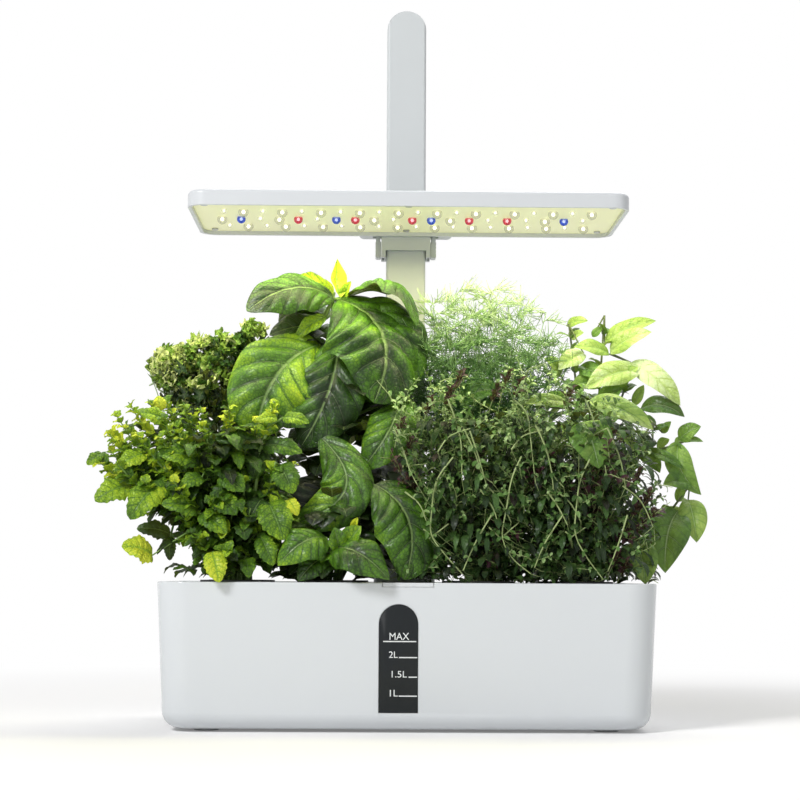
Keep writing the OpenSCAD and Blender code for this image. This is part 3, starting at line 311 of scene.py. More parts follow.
bm = bmesh.new()
block(bm, tank_low, tank_high)
foot_in = math.tan(LEAN_ANGLE) * (RIM - tank_low.z)
for v in bm.verts:
    if v.co.z < RIM - MM:
        v.co.x -= math.copysign(foot_in, v.co.x)
        v.co.y -= math.copysign(foot_in, v.co.y)
round_off(bm, along(bm, 2), CORNER, 14)
bottom = [e for e in bm.edges if max(v.co.z for v in e.verts) < tank_low.z + MM * 0.1]
round_off(bm, bottom, EDGE, 8)
bmesh.ops.delete(bm, geom=[f for f in bm.faces if f.calc_center_median().z > RIM - MM * 0.1],
                 context="FACES_ONLY")
tank = piece("tank_shell", bm, tank_white, "tank", ["tank"])
hollow = tank.modifiers.new("wall", "SOLIDIFY")
hollow.thickness = WALL
hollow.offset = -1
hollow.use_even_offset = True
walled = baked(tank)
tank.modifiers.clear()
tank.data = walled

bm = bmesh.new()
bm.from_mesh(tank.data)
rim_edges = [e for e in bm.edges if min(v.co.z for v in e.verts) > RIM - MM * 0.05
             and e.calc_face_angle(0) > 1]
round_off(bm, rim_edges, 0.7 * MM, 3)
for e in bm.edges:
    e.smooth = e.calc_face_angle(0) < math.radians(50)
bm.to_mesh(tank.data)
bm.free()


def arch_block(wide, high, middle, foot, front, back, round_front=0.0):
    """Upright slab with a half-round top, leaned back with the tank's front wall."""
    bm = bmesh.new()
    block(bm, (middle - wide / 2, front, foot), (middle + wide / 2, back, foot + high))
    top = [e for e in along(bm, 1) if min(v.co.z for v in e.verts) > foot + high / 2]
    round_off(bm, top, wide / 2 - MM * 0.005, 18)
    if round_front:
        face = [e for e in bm.edges if max(v.co.y for v in e.verts) < front + MM * 0.01]
        round_off(bm, face, round_front, 3)
    bmesh.ops.transform(bm, matrix=ON_FRONT, verts=bm.verts)
    return bm


WINDOW_WIDE, WINDOW_HIGH, WINDOW_MIDDLE = 23 * MM, 63.5 * MM, -5.5 * MM
WINDOW_FOOT, WINDOW_PROUD = 0.6 * MM, 0.4 * MM
pocket = arch_block(WINDOW_WIDE + 0.5 * MM, WINDOW_HIGH + 0.5 * MM, WINDOW_MIDDLE,
                    WINDOW_FOOT - 0.25 * MM, -3 * MM, 1.6 * MM)
cut_out(tank, piece("pocket", pocket, tank_white, None))

LIP_WIDE, LIP_THICK = 30 * MM, 2.4 * MM
bm = bmesh.new()
block(bm, (-LIP_WIDE / 2 - 0.4 * MM, tank_low.y - 5 * MM, RIM - LIP_THICK - 0.2 * MM),
      (LIP_WIDE / 2 + 0.4 * MM, tank_low.y + 6 * MM, RIM + 5 * MM))
cut_out(tank, piece("notch", bm, tank_white, None))

# Ledge for the deck, a ring inside the wall
LEDGE_WIDE = 3.4 * MM
DECK_TOP = RIM - 0.4 * MM
LEDGE_TOP = DECK_TOP - 3 * MM
bm = bmesh.new()
inner = WALL - 0.4 * MM
block(bm, (tank_low.x + inner, tank_low.y + inner, LEDGE_TOP - 2 * MM),
      (tank_high.x - inner, tank_high.y - inner, LEDGE_TOP))
round_off(bm, along(bm, 2), CORNER - inner, 12)
flats = [f for f in bm.faces if abs(f.normal.z) > 0.9]
bmesh.ops.inset_individual(bm, faces=flats, thickness=LEDGE_WIDE + 0.4 * MM, use_even_offset=True)
loops = [e for f in flats for e in f.edges]
bmesh.ops.delete(bm, geom=flats, context="FACES_ONLY")
bmesh.ops.bridge_loops(bm, edges=loops)
bmesh.ops.recalc_face_normals(bm, faces=bm.faces)
piece("tank_ledge", bm, tank_white, "tank")
flat = tank.modifiers.new("flat", "WEIGHTED_NORMAL")
flat.keep_sharp = True
flat.weight = 100


# ---------- level window ----------
# Smoked window set in the tank's front wall with its gasket behind it. It is a glossy
# dark slab with a half-round top; the litre marks are printed on its face in white ink.

smoked = plastic("smoked_window", (0.007, 0.010, 0.012), 0.09, 0.15, 0.01)
smoked.node_tree.nodes["Principled BSDF"].inputs["Specular IOR Level"].default_value = 0.3
window = arch_block(WINDOW_WIDE, WINDOW_HIGH, WINDOW_MIDDLE, WINDOW_FOOT, -WINDOW_PROUD,
                    1.1 * MM, 0.35 * MM)
piece("window", window, smoked, "tank", ["level_window"])

ink = plastic("white_ink", (0.8, 0.82, 0.82), 0.5)
INK_PROUD = 0.08 * MM
marks = bmesh.new()


def print_line(left, right, height, thick=0.65 * MM):
    block(marks, (left, -WINDOW_PROUD - INK_PROUD, height - thick / 2),
          (right, -WINDOW_PROUD + INK_PROUD, height + thick / 2))


def print_words(words, left, wide, foot, tall):
    """Words stretched to a width and a cap height, flat on the window's face."""
    curve = bpy.data.curves.new(words, "FONT")
    curve.body = words
    curve.size = 1
    curve.extrude = 0.01
    held = bpy.data.objects.new(words, curve)
    bpy.context.collection.objects.link(held)
    flat = baked(held)
    bpy.data.objects.remove(held)
    letters = bmesh.new()
    letters.from_mesh(flat)
    xs = [v.co.x for v in letters.verts]
    ys = [v.co.y for v in letters.verts]
    for v in letters.verts:
        x = left + wide * (v.co.x - min(xs)) / (max(xs) - min(xs))
        z = foot + tall * (v.co.y - min(ys)) / (max(ys) - min(ys))
        v.co = Vector((x, -WINDOW_PROUD + v.co.z * INK_PROUD / 0.01, z))
    letters.to_mesh(flat)
    letters.free()
    marks.from_mesh(flat)


window_right = WINDOW_MIDDLE + WINDOW_WIDE / 2 - 0.3 * MM
rise = WALL_FOOT + 0.2 * MM
print_line(-14.6 * MM, 5.0 * MM, 54.2 * MM - rise)
print_line(-5.2 * MM, window_right, 44.8 * MM - rise)
print_line(0.6 * MM, window_right, 33.3 * MM - rise)
print_line(-5.2 * MM, window_right, 22.2 * MM - rise)
print_words("MAX", -10.8 * MM, 11.6 * MM, 55.2 * MM - rise, 4.1 * MM)
print_words("2L", -11.1 * MM, 5.2 * MM, 44.6 * MM - rise, 3.8 * MM)
print_words("1.5L", -9.4 * MM, 9.0 * MM, 33.1 * MM - rise, 3.8 * MM)
print_words("1L", -10.4 * MM, 4.6 * MM, 22.0 * MM - rise, 3.8 * MM)
bmesh.ops.transform(marks, verts=marks.verts, matrix=ON_FRONT)
piece("level_marks", marks, ink, "tank")


# ---------- moulded parts ----------
# Deck, flap, mast, boot, carriage, levers and baskets are injection-moulded. Each is
# its solid with the loose triangles merged, the edges given a small mould radius and
# the faces shaded smooth.

record = frame["record"]
body_of = {n: b for b, nodes in record["behaviour"]["bodies"].items() for n in nodes}


def moulded(node, material, radius, segments=2, angle=35):
    """Merged copy of a node with rounded edges, which stands for the node."""
    bm = bmesh.new()
    bm.from_mesh(frame["nodes"][node].data)
    bmesh.ops.remove_doubles(bm, verts=bm.verts, dist=0.002 * MM)
    bmesh.ops.dissolve_limit(bm, angle_limit=math.radians(0.6), verts=bm.verts, edges=bm.edges)
    made = piece(node + "_skin", bm, material, body_of[node], [node],
                 math.radians(angle))
    if radius:
        edge = made.modifiers.new("edge", "BEVEL")
        edge.width = radius
        edge.segments = segments
        edge.limit_method = "ANGLE"
        edge.angle_limit = math.radians(angle)
        flat = made.modifiers.new("flat", "WEIGHTED_NORMAL")
        flat.keep_sharp = True
    return made


deck_white = plastic("deck_white", (0.70, 0.72, 0.74), 0.3)
mast_white = plastic("mast_white", (0.60, 0.625, 0.63), 0.34)
foot_grey = plastic("foot_grey", (0.6, 0.61, 0.62), 0.6)
matte_black = plastic("matte_black", (0.02, 0.02, 0.022), 0.55)
rubber = plastic("rubber", (0.03, 0.03, 0.032), 0.8, 0.1, 0.2, 3000)

for node in ("grow_deck", "fill_flap", "pump_riser"):
    moulded(node, deck_white, 0.35 * MM)
moulded("mast", mast_white, 0.7 * MM, 3)
for node in ("mast_boot", "carriage", "carriage_cover"):
    moulded(node, mast_white, 0.3 * MM)
for node in ("lever_left", "lever_right"):
    moulded(node, mast_white, 0.15 * MM)
moulded("tank_feet", foot_grey, 0)
moulded("window_gasket", rubber, 0)


# ---------- metal and inner parts ----------
# Screws, pins and springs are drawn steel, the contacts sprung copper and the plate over
# the LED board aluminium. The pump, its strainer and its impeller are plain plastics.

def metal(name, colour, rough, grain):
    """Bare metal with a fine drawn or rolled grain and a few duller patches."""
    made, skin = new_material(name)
    skin["Metallic"].default_value = 1
    patches = speckle(made, 60, 4)
    lines = speckle(made, 900, 3, grain)
    tarnished = tuple(c * 0.72 for c in colour)
    feed(made, skin["Base Color"], blend(made, patches, tarnished, colour))
    feed(made, skin["Roughness"], remap(made, lines, 0.0, 1.0, rough * 0.7, rough * 1.4))
    emboss(made, skin, 0.15, 0.0001, lines)
    return made


def dress(node, finish):
    """Gives a plain CAD node its material."""
    mesh = frame["nodes"][node].data
    mesh.materials.clear()
    mesh.materials.append(finish)


steel = metal("steel", (0.55, 0.56, 0.58), 0.3, (1, 1, 0.1))
copper = metal("copper", (0.78, 0.44, 0.24), 0.32, (1, 1, 0.05))
aluminium = metal("aluminium", (0.72, 0.73, 0.75), 0.4, (0.05, 1, 1))
pump_grey = plastic("pump_grey", (0.3, 0.31, 0.33), 0.4)
circuit_green = plastic("circuit_green", (0.02, 0.13, 0.05), 0.35, 0.35, 0.2, 500)

bare = {
    steel: ("flap_pin", "flap_spring", "mast_screws", "power_inlet", "carriage_screws",
            "lever_pins", "board_screws"),
    copper: ("contact_strips", "carriage_contacts"),
    aluminium: ("heat_spreader",),
    matte_black: ("pump_motor", "pump_strainer"),
    pump_grey: ("impeller",),
    circuit_green: ("driver_board",),
}
for finish, names in bare.items():
    for name in names:
        dress(name, finish)
for side in ("left", "right"):  # each spring gets a mesh of its own
    low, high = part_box("lever_spring_" + side)
    spring = moulded("lever_spring_" + side, steel, 0)
    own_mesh(spring)


# ---------- lamp ----------
# Shallow moulded housing, open below, with the LED board set up inside its rim. The
# board's lacquer has a painted glow between sixty small LEDs, standing in for their light on it.

lamp_white = plastic("lamp_white", (0.66, 0.68, 0.70), 0.3)
moulded("lamp_housing", lamp_white, 0.5 * MM, 3)
moulded("mode_button", lamp_white, 0.3 * MM)

board_painted_glow, skin = new_material("board_painted_glow")
patches = speckle(board_painted_glow, 30, 2)
feed(board_painted_glow, skin["Base Color"], blend(board_painted_glow, patches, (0.64, 0.635, 0.47),
                                            (0.70, 0.695, 0.52)))
skin["Roughness"].default_value = 0.5
# painted glow: the lacquer emits light as if lit by the LEDs around it, though it is no lamp
skin["Emission Color"].default_value = (0.58, 0.57, 0.29, 1)
skin["Emission Strength"].default_value = 0.56
dress("led_board", board_painted_glow)


def lit(name, colour, strength):
    """Body of a lit LED, a little uneven in brightness."""
    made, skin = new_material(name)
    spots = speckle(made, 900, 2)
    dim = tuple(c * 0.85 for c in colour)
    feed(made, skin["Base Color"], blend(made, spots, dim, colour))
    feed(made, skin["Emission Color"], blend(made, spots, dim, colour))
    skin["Emission Strength"].default_value = strength
    skin["Roughness"].default_value = 0.3
    return made


def lens(name, colour, alpha):
    """Clear epoxy dome with a tint."""
    made, skin = new_material(name)
    spots = speckle(made, 700, 2)
    feed(made, skin["Base Color"], blend(made, spots, tuple(c * 0.9 for c in colour), colour))
    skin["Alpha"].default_value = alpha
    skin["Roughness"].default_value = 0.08
    return made


LED_PITCH, LED_ROW = 12.2 * MM, 24 * MM
OUTER_ROW = "wo" * 10
MIDDLE_ROW = "obworwbrowrborwrwobw"
board_low, board_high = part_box("led_board")
lamp_middle = (board_low.y + board_high.y) / 2
LED_KINDS = (  # letter in the rows, node, bead radius, chip's and lens's colours, glow, clearness
    ("w", "white_leds", 1.8 * MM, (1, 1, 0.92), (0.95, 0.95, 0.85), 2.6, 0.3),
    ("o", "warm_leds", 3.4 * MM, (1, 0.98, 0.8), (0.52, 0.51, 0.43), 2.4, 0.3),
    ("b", "blue_leds", 2.9 * MM, (0.8, 0.88, 1), (0.02, 0.09, 0.75), 4, 0.8),
    ("r", "red_leds", 2.9 * MM, (1, 0.85, 0.88), (0.75, 0.04, 0.11), 4, 0.8),
)
for kind, node, radius, chip_colour, lens_colour, strength, alpha in LED_KINDS:
    bm = bmesh.new()
    for row in range(3):
        for i in range(20):
            if (MIDDLE_ROW if row == 1 else OUTER_ROW)[i] != kind:
                continue
            at = Vector(((i - 9.5 - (0.25 if row == 1 else 0)) * LED_PITCH,
                         lamp_middle + (row - 1) * LED_ROW, board_low.z))
            for size, which in ((radius, 1), (radius * 0.36, 0)):
                before = set(bm.faces)
                made = bmesh.ops.create_uvsphere(bm, u_segments=16, v_segments=10, radius=size)
                bmesh.ops.translate(bm, vec=at - Vector((0, 0, radius * 0.5)), verts=made["verts"])
                if which:
                    cut = [g for v in made["verts"] for g in (v, *v.link_edges, *v.link_faces)]
                    bmesh.ops.bisect_plane(bm, geom=list(set(cut)), plane_co=at,
                                           plane_no=(0, 0, 1), clear_outer=True)
                for f in set(bm.faces) - before:
                    f.material_index = which
    chip = lit(node[:-5] + "_chip", chip_colour, strength)
    dome = lens(node[:-5] + "_lens", lens_colour, alpha)
    piece(node + "_lit", bm, [chip, dome], "lamp", [node], math.radians(80))


# what the LEDs throw down on the leaves, as one lamp that moves with the housing
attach(soft_lamp("grow_glow", (0, -0.03, 0.305), (0, -0.0301, 0), (0.34, 0.05), 0.46,
                  (1, 0.97, 0.55)), "lamp")


# ---------- grow pods ----------
# Each pod is a black mesh basket that hangs by its flange in a hole of the deck, with a
# peat sponge pressed into it that the herb is rooted in.

peat, skin = new_material("peat")
crumbs = speckle(peat, 500, 5)
feed(peat, skin["Base Color"], shades(peat, crumbs, ((0.3, (0.012, 0.007, 0.004)),
     (0.55, (0.05, 0.028, 0.015)), (0.75, (0.13, 0.08, 0.045)))))
skin["Roughness"].default_value = 0.95
emboss(peat, skin, 0.8, 0.0008, crumbs)

HERBS = ("mint", "small_basil", "thyme", "creeping_thyme", "parsley", "basil", "dill",
         "lemon_basil")
SPONGE_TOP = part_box("sponge_basil")[1].z
crowns = {}
for herb in HERBS:
    low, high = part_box("basket_" + herb)
    crowns[herb] = Vector(((low.x + high.x) / 2, (low.y + high.y) / 2, SPONGE_TOP))
    moulded("basket_" + herb, matte_black, 0)
    dress("sponge_" + herb, peat)


# ---------- basil ----------
# Tall sweet basil: a square green stem with pairs of broad, glossy, blistered leaves
# that hang over one another. A leaf is a grid narrowed to its outline, creased along
# the midrib, puffed up between the side veins and laid along a curved midrib.

def leaf_form(name, across, lengthways, base=0.6, tip=0.85, teeth=0, bite=0.0, ribs=6,
              slant=1.3, pucker=0.06, crease=0.05, wave=0.0, waves=2.5, lobes=0.0):
    """Flat leaf one unit long and one wide, its veins and wavy margin raised."""
    bm = bmesh.new()
    bm.loops.layers.uv.new("UVMap")
    bmesh.ops.create_grid(bm, x_segments=across, y_segments=lengthways, size=0.5, calc_uvs=True)
    peak = base / (base + tip)
    fullest = peak ** base * (1 - peak) ** tip
    for v in bm.verts:
        u, t = 2 * v.co.x, v.co.y + 0.5
        wide = max(t, 0.0) ** base * max(1 - t, 0.0) ** tip / fullest
        wide *= 1 + bite * ((t * teeth) % 1 - 0.5) + lobes * math.cos(6 * math.pi * (t - 0.1))
        far = abs(u)
        blister = abs(math.sin(math.pi * (t * ribs - slant * far))) ** 0.7
        height = (pucker * blister * far ** 0.4 * (1 - far ** 8)
                  * min(1, 4 * (1 - t)) * min(1, 5 * t))
        height += crease * far ** 0.7
        height += wave * far ** 3 * math.sin(2 * math.pi * waves * t + (1.7 if u > 0 else 0))
        v.co = Vector((u * wide / 2, t, height * wide))
    bmesh.ops.remove_doubles(bm, verts=bm.verts, dist=1e-5)
    for f in bm.faces:
        f.smooth = True
    form = bpy.data.meshes.new(name)
    bm.to_mesh(form)
    bm.free()
    return form


def set_leaf(plant, form, foot, tip, width, tone, arch=0.1, sweep=0.0, fold=0.15, cup=0.0,
             roll=0.0, face=(0.0, -1.0, 0.65)):
    """Lays a leaf form along a bowed midrib, from the leaf's foot to its tip, in metres."""
    foot, tip = Vector(foot), Vector(tip)
    length = (tip - foot).length
    chord = (tip - foot) / length
    up = (Vector(face) - chord * Vector(face).dot(chord)).normalized()
    up = Matrix.Rotation(math.radians(roll), 3, chord) @ up
    bow = chord.cross(up) * sweep + up * arch
    start = len(plant.verts)
    plant.from_mesh(form)
    plant.verts.ensure_lookup_table()
    shade = plant.verts.layers.float["tone"]
    rows = {}
    for v in plant.verts[start:]:
        x, t, h = v.co
        row = round(t, 3)
        if row not in rows:
            along_way = (chord + bow * (4 - 8 * t)).normalized()
            across_way = along_way.cross(up).normalized()
            rows[row] = (foot + (chord * t + bow * 4 * t * (1 - t)) * length, across_way,
                         across_way.cross(along_way))
        middle, across_way, out_way = rows[row]
        lift = h + fold * abs(x) + 2 * cup * x * x
        v.co = middle + (across_way * x + out_way * lift) * width
        v[shade] = tone


def new_plant():
    bm = bmesh.new()
    bm.loops.layers.uv.new("UVMap")
    bm.verts.layers.float.new("tone")
    return bm


def mm(point):
    return Vector(point) * MM


def near(crown, reach, picks):
    """A point on the sponge, beside the crown."""
    return crown + mm((picks.uniform(-reach, reach), picks.uniform(-reach, reach), 0))


def bend(foot, tip, lean=0.35, count=9):
    """Stem that leaves its foot upwards and curves over to its tip."""
    foot, tip = Vector(foot), Vector(tip)
    rise = Vector((0, 0, (tip - foot).length * lean))
    way = interpolate_bezier(foot, foot + rise, tip - (tip - foot) * 0.3 - rise * 0.2, tip, count)
    return [Vector(p) for p in way]


def add_stems(plant, paths, radius, taper=0.45, sides=1):
    """Round stems along paths, thinner towards their ends, as the plant's second finish."""
    curve = bpy.data.curves.new("stems", "CURVE")
    curve.dimensions = "3D"
    curve.bevel_depth = radius
    curve.bevel_resolution = sides
    curve.use_fill_caps = True
    for path in paths:
        spline = curve.splines.new("POLY")
        spline.points.add(len(path) - 1)
        for i, (point, at) in enumerate(zip(spline.points, path)):
            point.co = (*at, 1)
            point.radius = 1 - (1 - taper) * i / (len(path) - 1)
    held = bpy.data.objects.new("stems", curve)
    bpy.context.collection.objects.link(held)
    tubes = baked(held)
    bpy.data.objects.remove(held)
    tubes.materials.clear()
    for polygon in tubes.polygons:
        polygon.material_index = 1
    plant.from_mesh(tubes)


def leaf_skin(name, stops, vein, ribs, slant, net, gloss=0.35, through=0.15, mottle=0.45,
              dip_shade_strength=0.12, crinkle=0.08, coat=0.1):
    """Leaf: tone by a ramp, thin pale veins with painted shade in the dips beside them and along the
    midrib, and a net of finer veins.
    """
    made, skin = new_material(name)

    def do(operation, *feeds):
        return maths(made, operation, *feeds)

    def fall(value, start, end):
        """Is 1 up to the start and 0 from the end."""
        return remap(made, value, start, end, 1.0, 0.0)

    u, t = step(made, "ShaderNodeSeparateXYZ",
                step(made, "ShaderNodeTexCoord").node.outputs["UV"]).node.outputs[:2]
    far = do("ABSOLUTE", do("MULTIPLY_ADD", u, 2.0, -1.0))
    phase = do("SUBTRACT", do("MULTIPLY", t, ribs * math.pi), do("MULTIPLY", far, slant * math.pi))
    ripple = do("ABSOLUTE", do("SINE", phase))
    side = do("MULTIPLY", fall(ripple, 0.0, 0.09), do("SUBTRACT", 1.0, far))
    veins = do("MAXIMUM", fall(far, 0.012, 0.045), side)
    # painted shade: darker bands beside each side vein and along the midrib, where the blade dips
    dip_shade = do("MAXIMUM", fall(ripple, 0.08, 0.36), fall(far, 0.04, 0.16))
    cells = step(made, "ShaderNodeTexVoronoi", own_place(made), None, float(net),
                 feature="DISTANCE_TO_EDGE")
    fine = fall(cells, 0.0, 0.16)
    patches = speckle(made, 55, 5)
    tone = step(made, "ShaderNodeAttribute", attribute_name="tone").node.outputs["Fac"]
    shade = do("MULTIPLY_ADD", do("SUBTRACT", patches, 0.5), mottle * 2.0, tone)
    shade = do("SUBTRACT", shade, do("MULTIPLY", dip_shade, dip_shade_strength))
    shade = do("SUBTRACT", shade, do("MULTIPLY", fine, crinkle))
    colour = blend(made, do("MULTIPLY", veins, 0.55), shades(made, shade, stops), vein)
    feed(made, skin["Base Color"], colour)
    feed(made, skin["Roughness"], remap(made, patches, 0.0, 1.0, gloss * 0.8, gloss * 1.25))
    skin["Specular IOR Level"].default_value = 0.22
    skin["Coat Weight"].default_value = coat
    skin["Coat Roughness"].default_value = 0.22
    relief = do("MULTIPLY_ADD", fine, -0.5, do("SUBTRACT", speckle(made, net, 3), side))
    emboss(made, skin, 0.7, 0.0006, relief)
    glow = step(made, "ShaderNodeBsdfTranslucent", blend(made, 0.5, colour, (0.5, 0.6, 0.1)))
    show(made, step(made, "ShaderNodeMixShader", through, skin["Base Color"].node.outputs[0],
                    glow))
    return made


def stem_skin(name, low_colour, high_colour):
    """Fleshy stem, streaked from one green to another."""
    made, skin = new_material(name)
    streaks = speckle(made, 160, 3, (1, 1, 0.15))
    feed(made, skin["Base Color"], blend(made, streaks, low_colour, high_colour))
    skin["Roughness"].default_value = 0.5
    return made


def plant_out(herb, bm, leaf, stem):
    """Puts a finished plant in its pod, on a mesh of its own."""
    bm.normal_update()
    made = piece("foliage_" + herb, bm, [leaf, stem], "pod_" + herb,
                 ["plant_" + herb], math.radians(180))
    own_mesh(made)


def inner_leaves(plant, form, spine, count, spread, reach, width, tones, picks, low=0.0,
                 high=1.0, sector=(0, 360)):
    """Leaves round a stem, which fill the plant's middle and back; the dark tones most calls give them are
    painted shade.
    """
    for i in range(count):
        turn = math.radians(picks.uniform(*sector))
        out = Vector((math.cos(turn), math.sin(turn), 0))
        share = low + (high - low) * (i + picks.random()) / count
        k = min(int(share * (len(spine) - 1)), len(spine) - 2)
        at = spine[k].lerp(spine[k + 1], share * (len(spine) - 1) - k)
        foot = at + out * spread * math.sqrt(picks.random()) * MM
        tip = foot + out * picks.uniform(*reach) * MM - mm((0, 0, picks.uniform(-6, 12)))
        tip.z = max(tip.z, SPONGE_TOP + 5 * MM)
        set_leaf(plant, form, foot, tip, picks.uniform(*width) * MM, picks.uniform(*tones),
                 arch=0.2, cup=-0.2, face=(out.x * 0.5, out.y * 0.5 - 0.3, 1))


green_stem = stem_skin("green_stem", (0.10, 0.20, 0.03), (0.26, 0.40, 0.10))

basil_skin = leaf_skin("basil_leaf", ((0.0, (0.003, 0.007, 0.001)), (0.3, (0.014, 0.045, 0.004)),
                       (0.55, (0.085, 0.210, 0.014)), (0.8, (0.330, 0.520, 0.022)),
                       (1.0, (0.640, 0.700, 0.030))), (0.34, 0.50, 0.16), 6, 1.5, 420, 0.34, 0.1,
                       0.5, 0.16, 0.14, 0.2)
broad = leaf_form("broad_basil", 30, 50, 0.6, 0.66, 0, 0, 6, 1.5, 0.085, 0.04, 0.06, 2.5)
slim = leaf_form("slim_basil", 18, 30, 0.6, 0.85, 0, 0, 6, 1.5, 0.09, 0.05, 0.07, 2)
inner = leaf_form("inner_basil", 4, 8, 0.55, 0.8, 0, 0, 3, 1.2, 0.08, 0.06, 0.05, 2)
bud = leaf_form("basil_bud", 8, 10, 0.6, 0.9, 0, 0, 4, 1.2, 0.1, 0.08, 0.1, 1.5)

DOMED = dict(cup=-0.35, fold=0, arch=0.18)
BASIL = (  # form, foot, tip, width, tone, then how it bends
    (broad, (-44, 2, 269), (-21, -32, 199), 72, 0.48, dict(DOMED, sweep=-0.15, roll=-26, cup=-0.5)),
    (broad, (-30, 6, 267), (-3, -6, 208), 44, 0.5, dict(DOMED, sweep=-0.12)),
    (broad, (-38, 6, 271), (6, -12, 250), 34, 0.46, dict(DOMED, arch=0.36, roll=-50)),
    (broad, (-47, 4, 270), (-101, -24, 257), 34, 0.44, dict(DOMED, sweep=0.05)),
    (slim, (-47, 14, 275), (-82, 18, 279), 22, 0.9, dict(DOMED, arch=0.2)),
    (slim, (-72, 10, 272), (-90, 6, 276), 13, 0.75, dict(arch=0.2, fold=0.3)),
    (bud, (-43, 4, 270), (-45, 6, 296), 12, 1.05, dict(arch=-0.12, fold=0.5, roll=30)),
    (bud, (-41, 8, 270), (-36, 4, 281), 7, 0.9, dict(fold=0.5)),
    (bud, (-90, 10, 272), (-100, 4, 270), 9, 1.0, {}),
    (slim, (-57, 6, 252), (-88, 0, 245), 20, 0.3, {}),
    (slim, (-52, -2, 257), (-71, -6, 242), 12, 0.72, {}),
    (broad, (-56, -4, 239), (-94, -26, 176), 58, 0.68,
     dict(DOMED, sweep=0.12, roll=-10, arch=0.14)),
    (broad, (-44, -8, 242), (-66, -26, 172), 46, 0.42, dict(DOMED, sweep=-0.1, arch=0.12)),
    (broad, (-54, 0, 232), (-61, -16, 186), 34, 0.45, dict(DOMED, sweep=-0.08)),
    (slim, (-83, -18, 196), (-62, -28, 184), 22, 0.6, DOMED),
    (broad, (-4, -8, 206), (-28, -30, 158), 32, 0.5, dict(DOMED, sweep=-0.12)),
    (slim, (-36, -6, 187), (-66, -20, 170), 26, 0.42, DOMED),
    (broad, (-54, -30, 178), (-74, -48, 122), 33, 0.55,
     dict(DOMED, sweep=-0.45, arch=0.1, cup=-0.3)),
    # a low leaf under the others, its near-black tone painted shade
    (broad, (-52, -20, 152), (-68, -30, 126), 30, 0.02, {}),
    (bud, (-78, -12, 198), (-85, -14, 206), 7, 0.8, {}),
    (bud, (-78, -12, 198), (-73, -14, 208), 6, 0.85, {}),
)
basil = new_plant()
for form, foot, tip, width, tone, bends in BASIL:
    set_leaf(basil, form, mm(foot), mm(tip), width * MM, tone, **bends)
basil_stem = [mm(p) for p in ((-45, 22, 85), (-35.8, 0, 102), (-38, 4, 150), (-39.4, 10, 192),
                              (-45.9, 8, 223), (-48, 12, 270))]
stalks = []
for _, foot, *_ in BASIL:
    foot = mm(foot)
    hold = min(basil_stem, key=lambda p: (p - foot).length)
    stalks.append([foot.lerp(hold, 1 - k / 3) for k in range(4)])
add_stems(basil, [basil_stem], 2.4 * MM, 0.6, 2)
add_stems(basil, stalks, 1.1 * MM, 0.9)
picks = random.Random(11)
inner_leaves(basil, slim, basil_stem, 26, 10, (24, 36), (24, 30), (0.35, 0.6), picks, 0.3, 0.98,
             (15, 165))
inner_leaves(basil, inner, basil_stem, 110, 22, (14, 26), (16, 24), (0.0, 0.3), picks, 0.15, 0.92)
plant_out("basil", basil, basil_skin, green_stem)


# ---------- small basil ----------
# Young basil at the front: a short plant of few leaves, some of them as broad as the
# tall one's, some still crinkled, that rest over the tank's rim.

SMALL_BASIL = (
    (broad, (-20, -46, 148), (-2, -62, 90), 42, 0.48, dict(DOMED, sweep=-0.14, roll=-15)),
    (broad, (-4, -42, 142), (10, -52, 95), 30, 0.35, dict(DOMED, sweep=-0.1)),
    (slim, (-49, -62, 115), (-77, -76, 98), 26, 0.58, dict(DOMED, arch=0.26)),
    (slim, (-46, -62, 108), (-11, -82, 90), 28, 0.56, dict(DOMED, arch=0.26)),
    (slim, (-50, -62, 103), (-65, -72, 89), 18, 0.45, DOMED),
    (bud, (-41, -68, 108), (-44, -72, 121), 12, 0.62, dict(fold=0.5, cup=-0.3)),
    (bud, (-37, -66, 108), (-28, -70, 122), 14, 0.72, dict(fold=0.5)),
    (bud, (-32, -66, 121), (-30, -70, 127), 5, 1.0, dict(fold=0.5)),
    (bud, (-46, -66, 106), (-52, -72, 100), 9, 0.66, dict(fold=0.4)),
    # a leaf behind the others, its near-black tone painted shade
    (slim, (-46, -30, 146), (-74, -40, 122), 28, 0.05, {}),
    (slim, (-40, -40, 118), (-22, -58, 98), 26, 0.25, {}),
)
small = new_plant()
crown = crowns["small_basil"]
for form, foot, tip, width, tone, bends in SMALL_BASIL:
    set_leaf(small, form, mm(foot), mm(tip), width * MM, tone, **bends)
add_stems(small, [bend(near(crown, 4, picks), mm(foot)) for _, foot, *_ in SMALL_BASIL],
          1.3 * MM, 0.7)
spine = [crown + mm((0, 0, rise)) for rise in (0, 20, 40, 55)]
inner_leaves(small, inner, spine, 90, 22, (10, 20), (12, 20), (0.0, 0.3), picks)
plant_out("small_basil", small, basil_skin, green_stem)


# ---------- mint ----------
# Mint bushes out over the tank's left end: many stems with pairs of small toothed
# leaves, crossed pair over pair, that grow smaller towards each stem's tip.

mint_skin = leaf_skin("mint_leaf", ((0.0, (0.003, 0.008, 0.002)), (0.25, (0.014, 0.045, 0.005)),
                      (0.5, (0.085, 0.200, 0.012)), (0.75, (0.340, 0.530, 0.024)),
                      (1.0, (0.700, 0.760, 0.050))), (0.26, 0.44, 0.10), 6, 1.2, 520, 0.4, 0.15,
                      0.5, 0.16, 0.16)
mint_leaf = leaf_form("mint_leaf", 8, 21, 0.5, 0.7, 7, 0.2, 6, 1.2, 0.12, 0.08, 0.08, 2)
small_mint = leaf_form("small_mint_leaf", 4, 10, 0.5, 0.75, 5, 0.3, 3, 1.2, 0.12, 0.1, 0.1, 2)


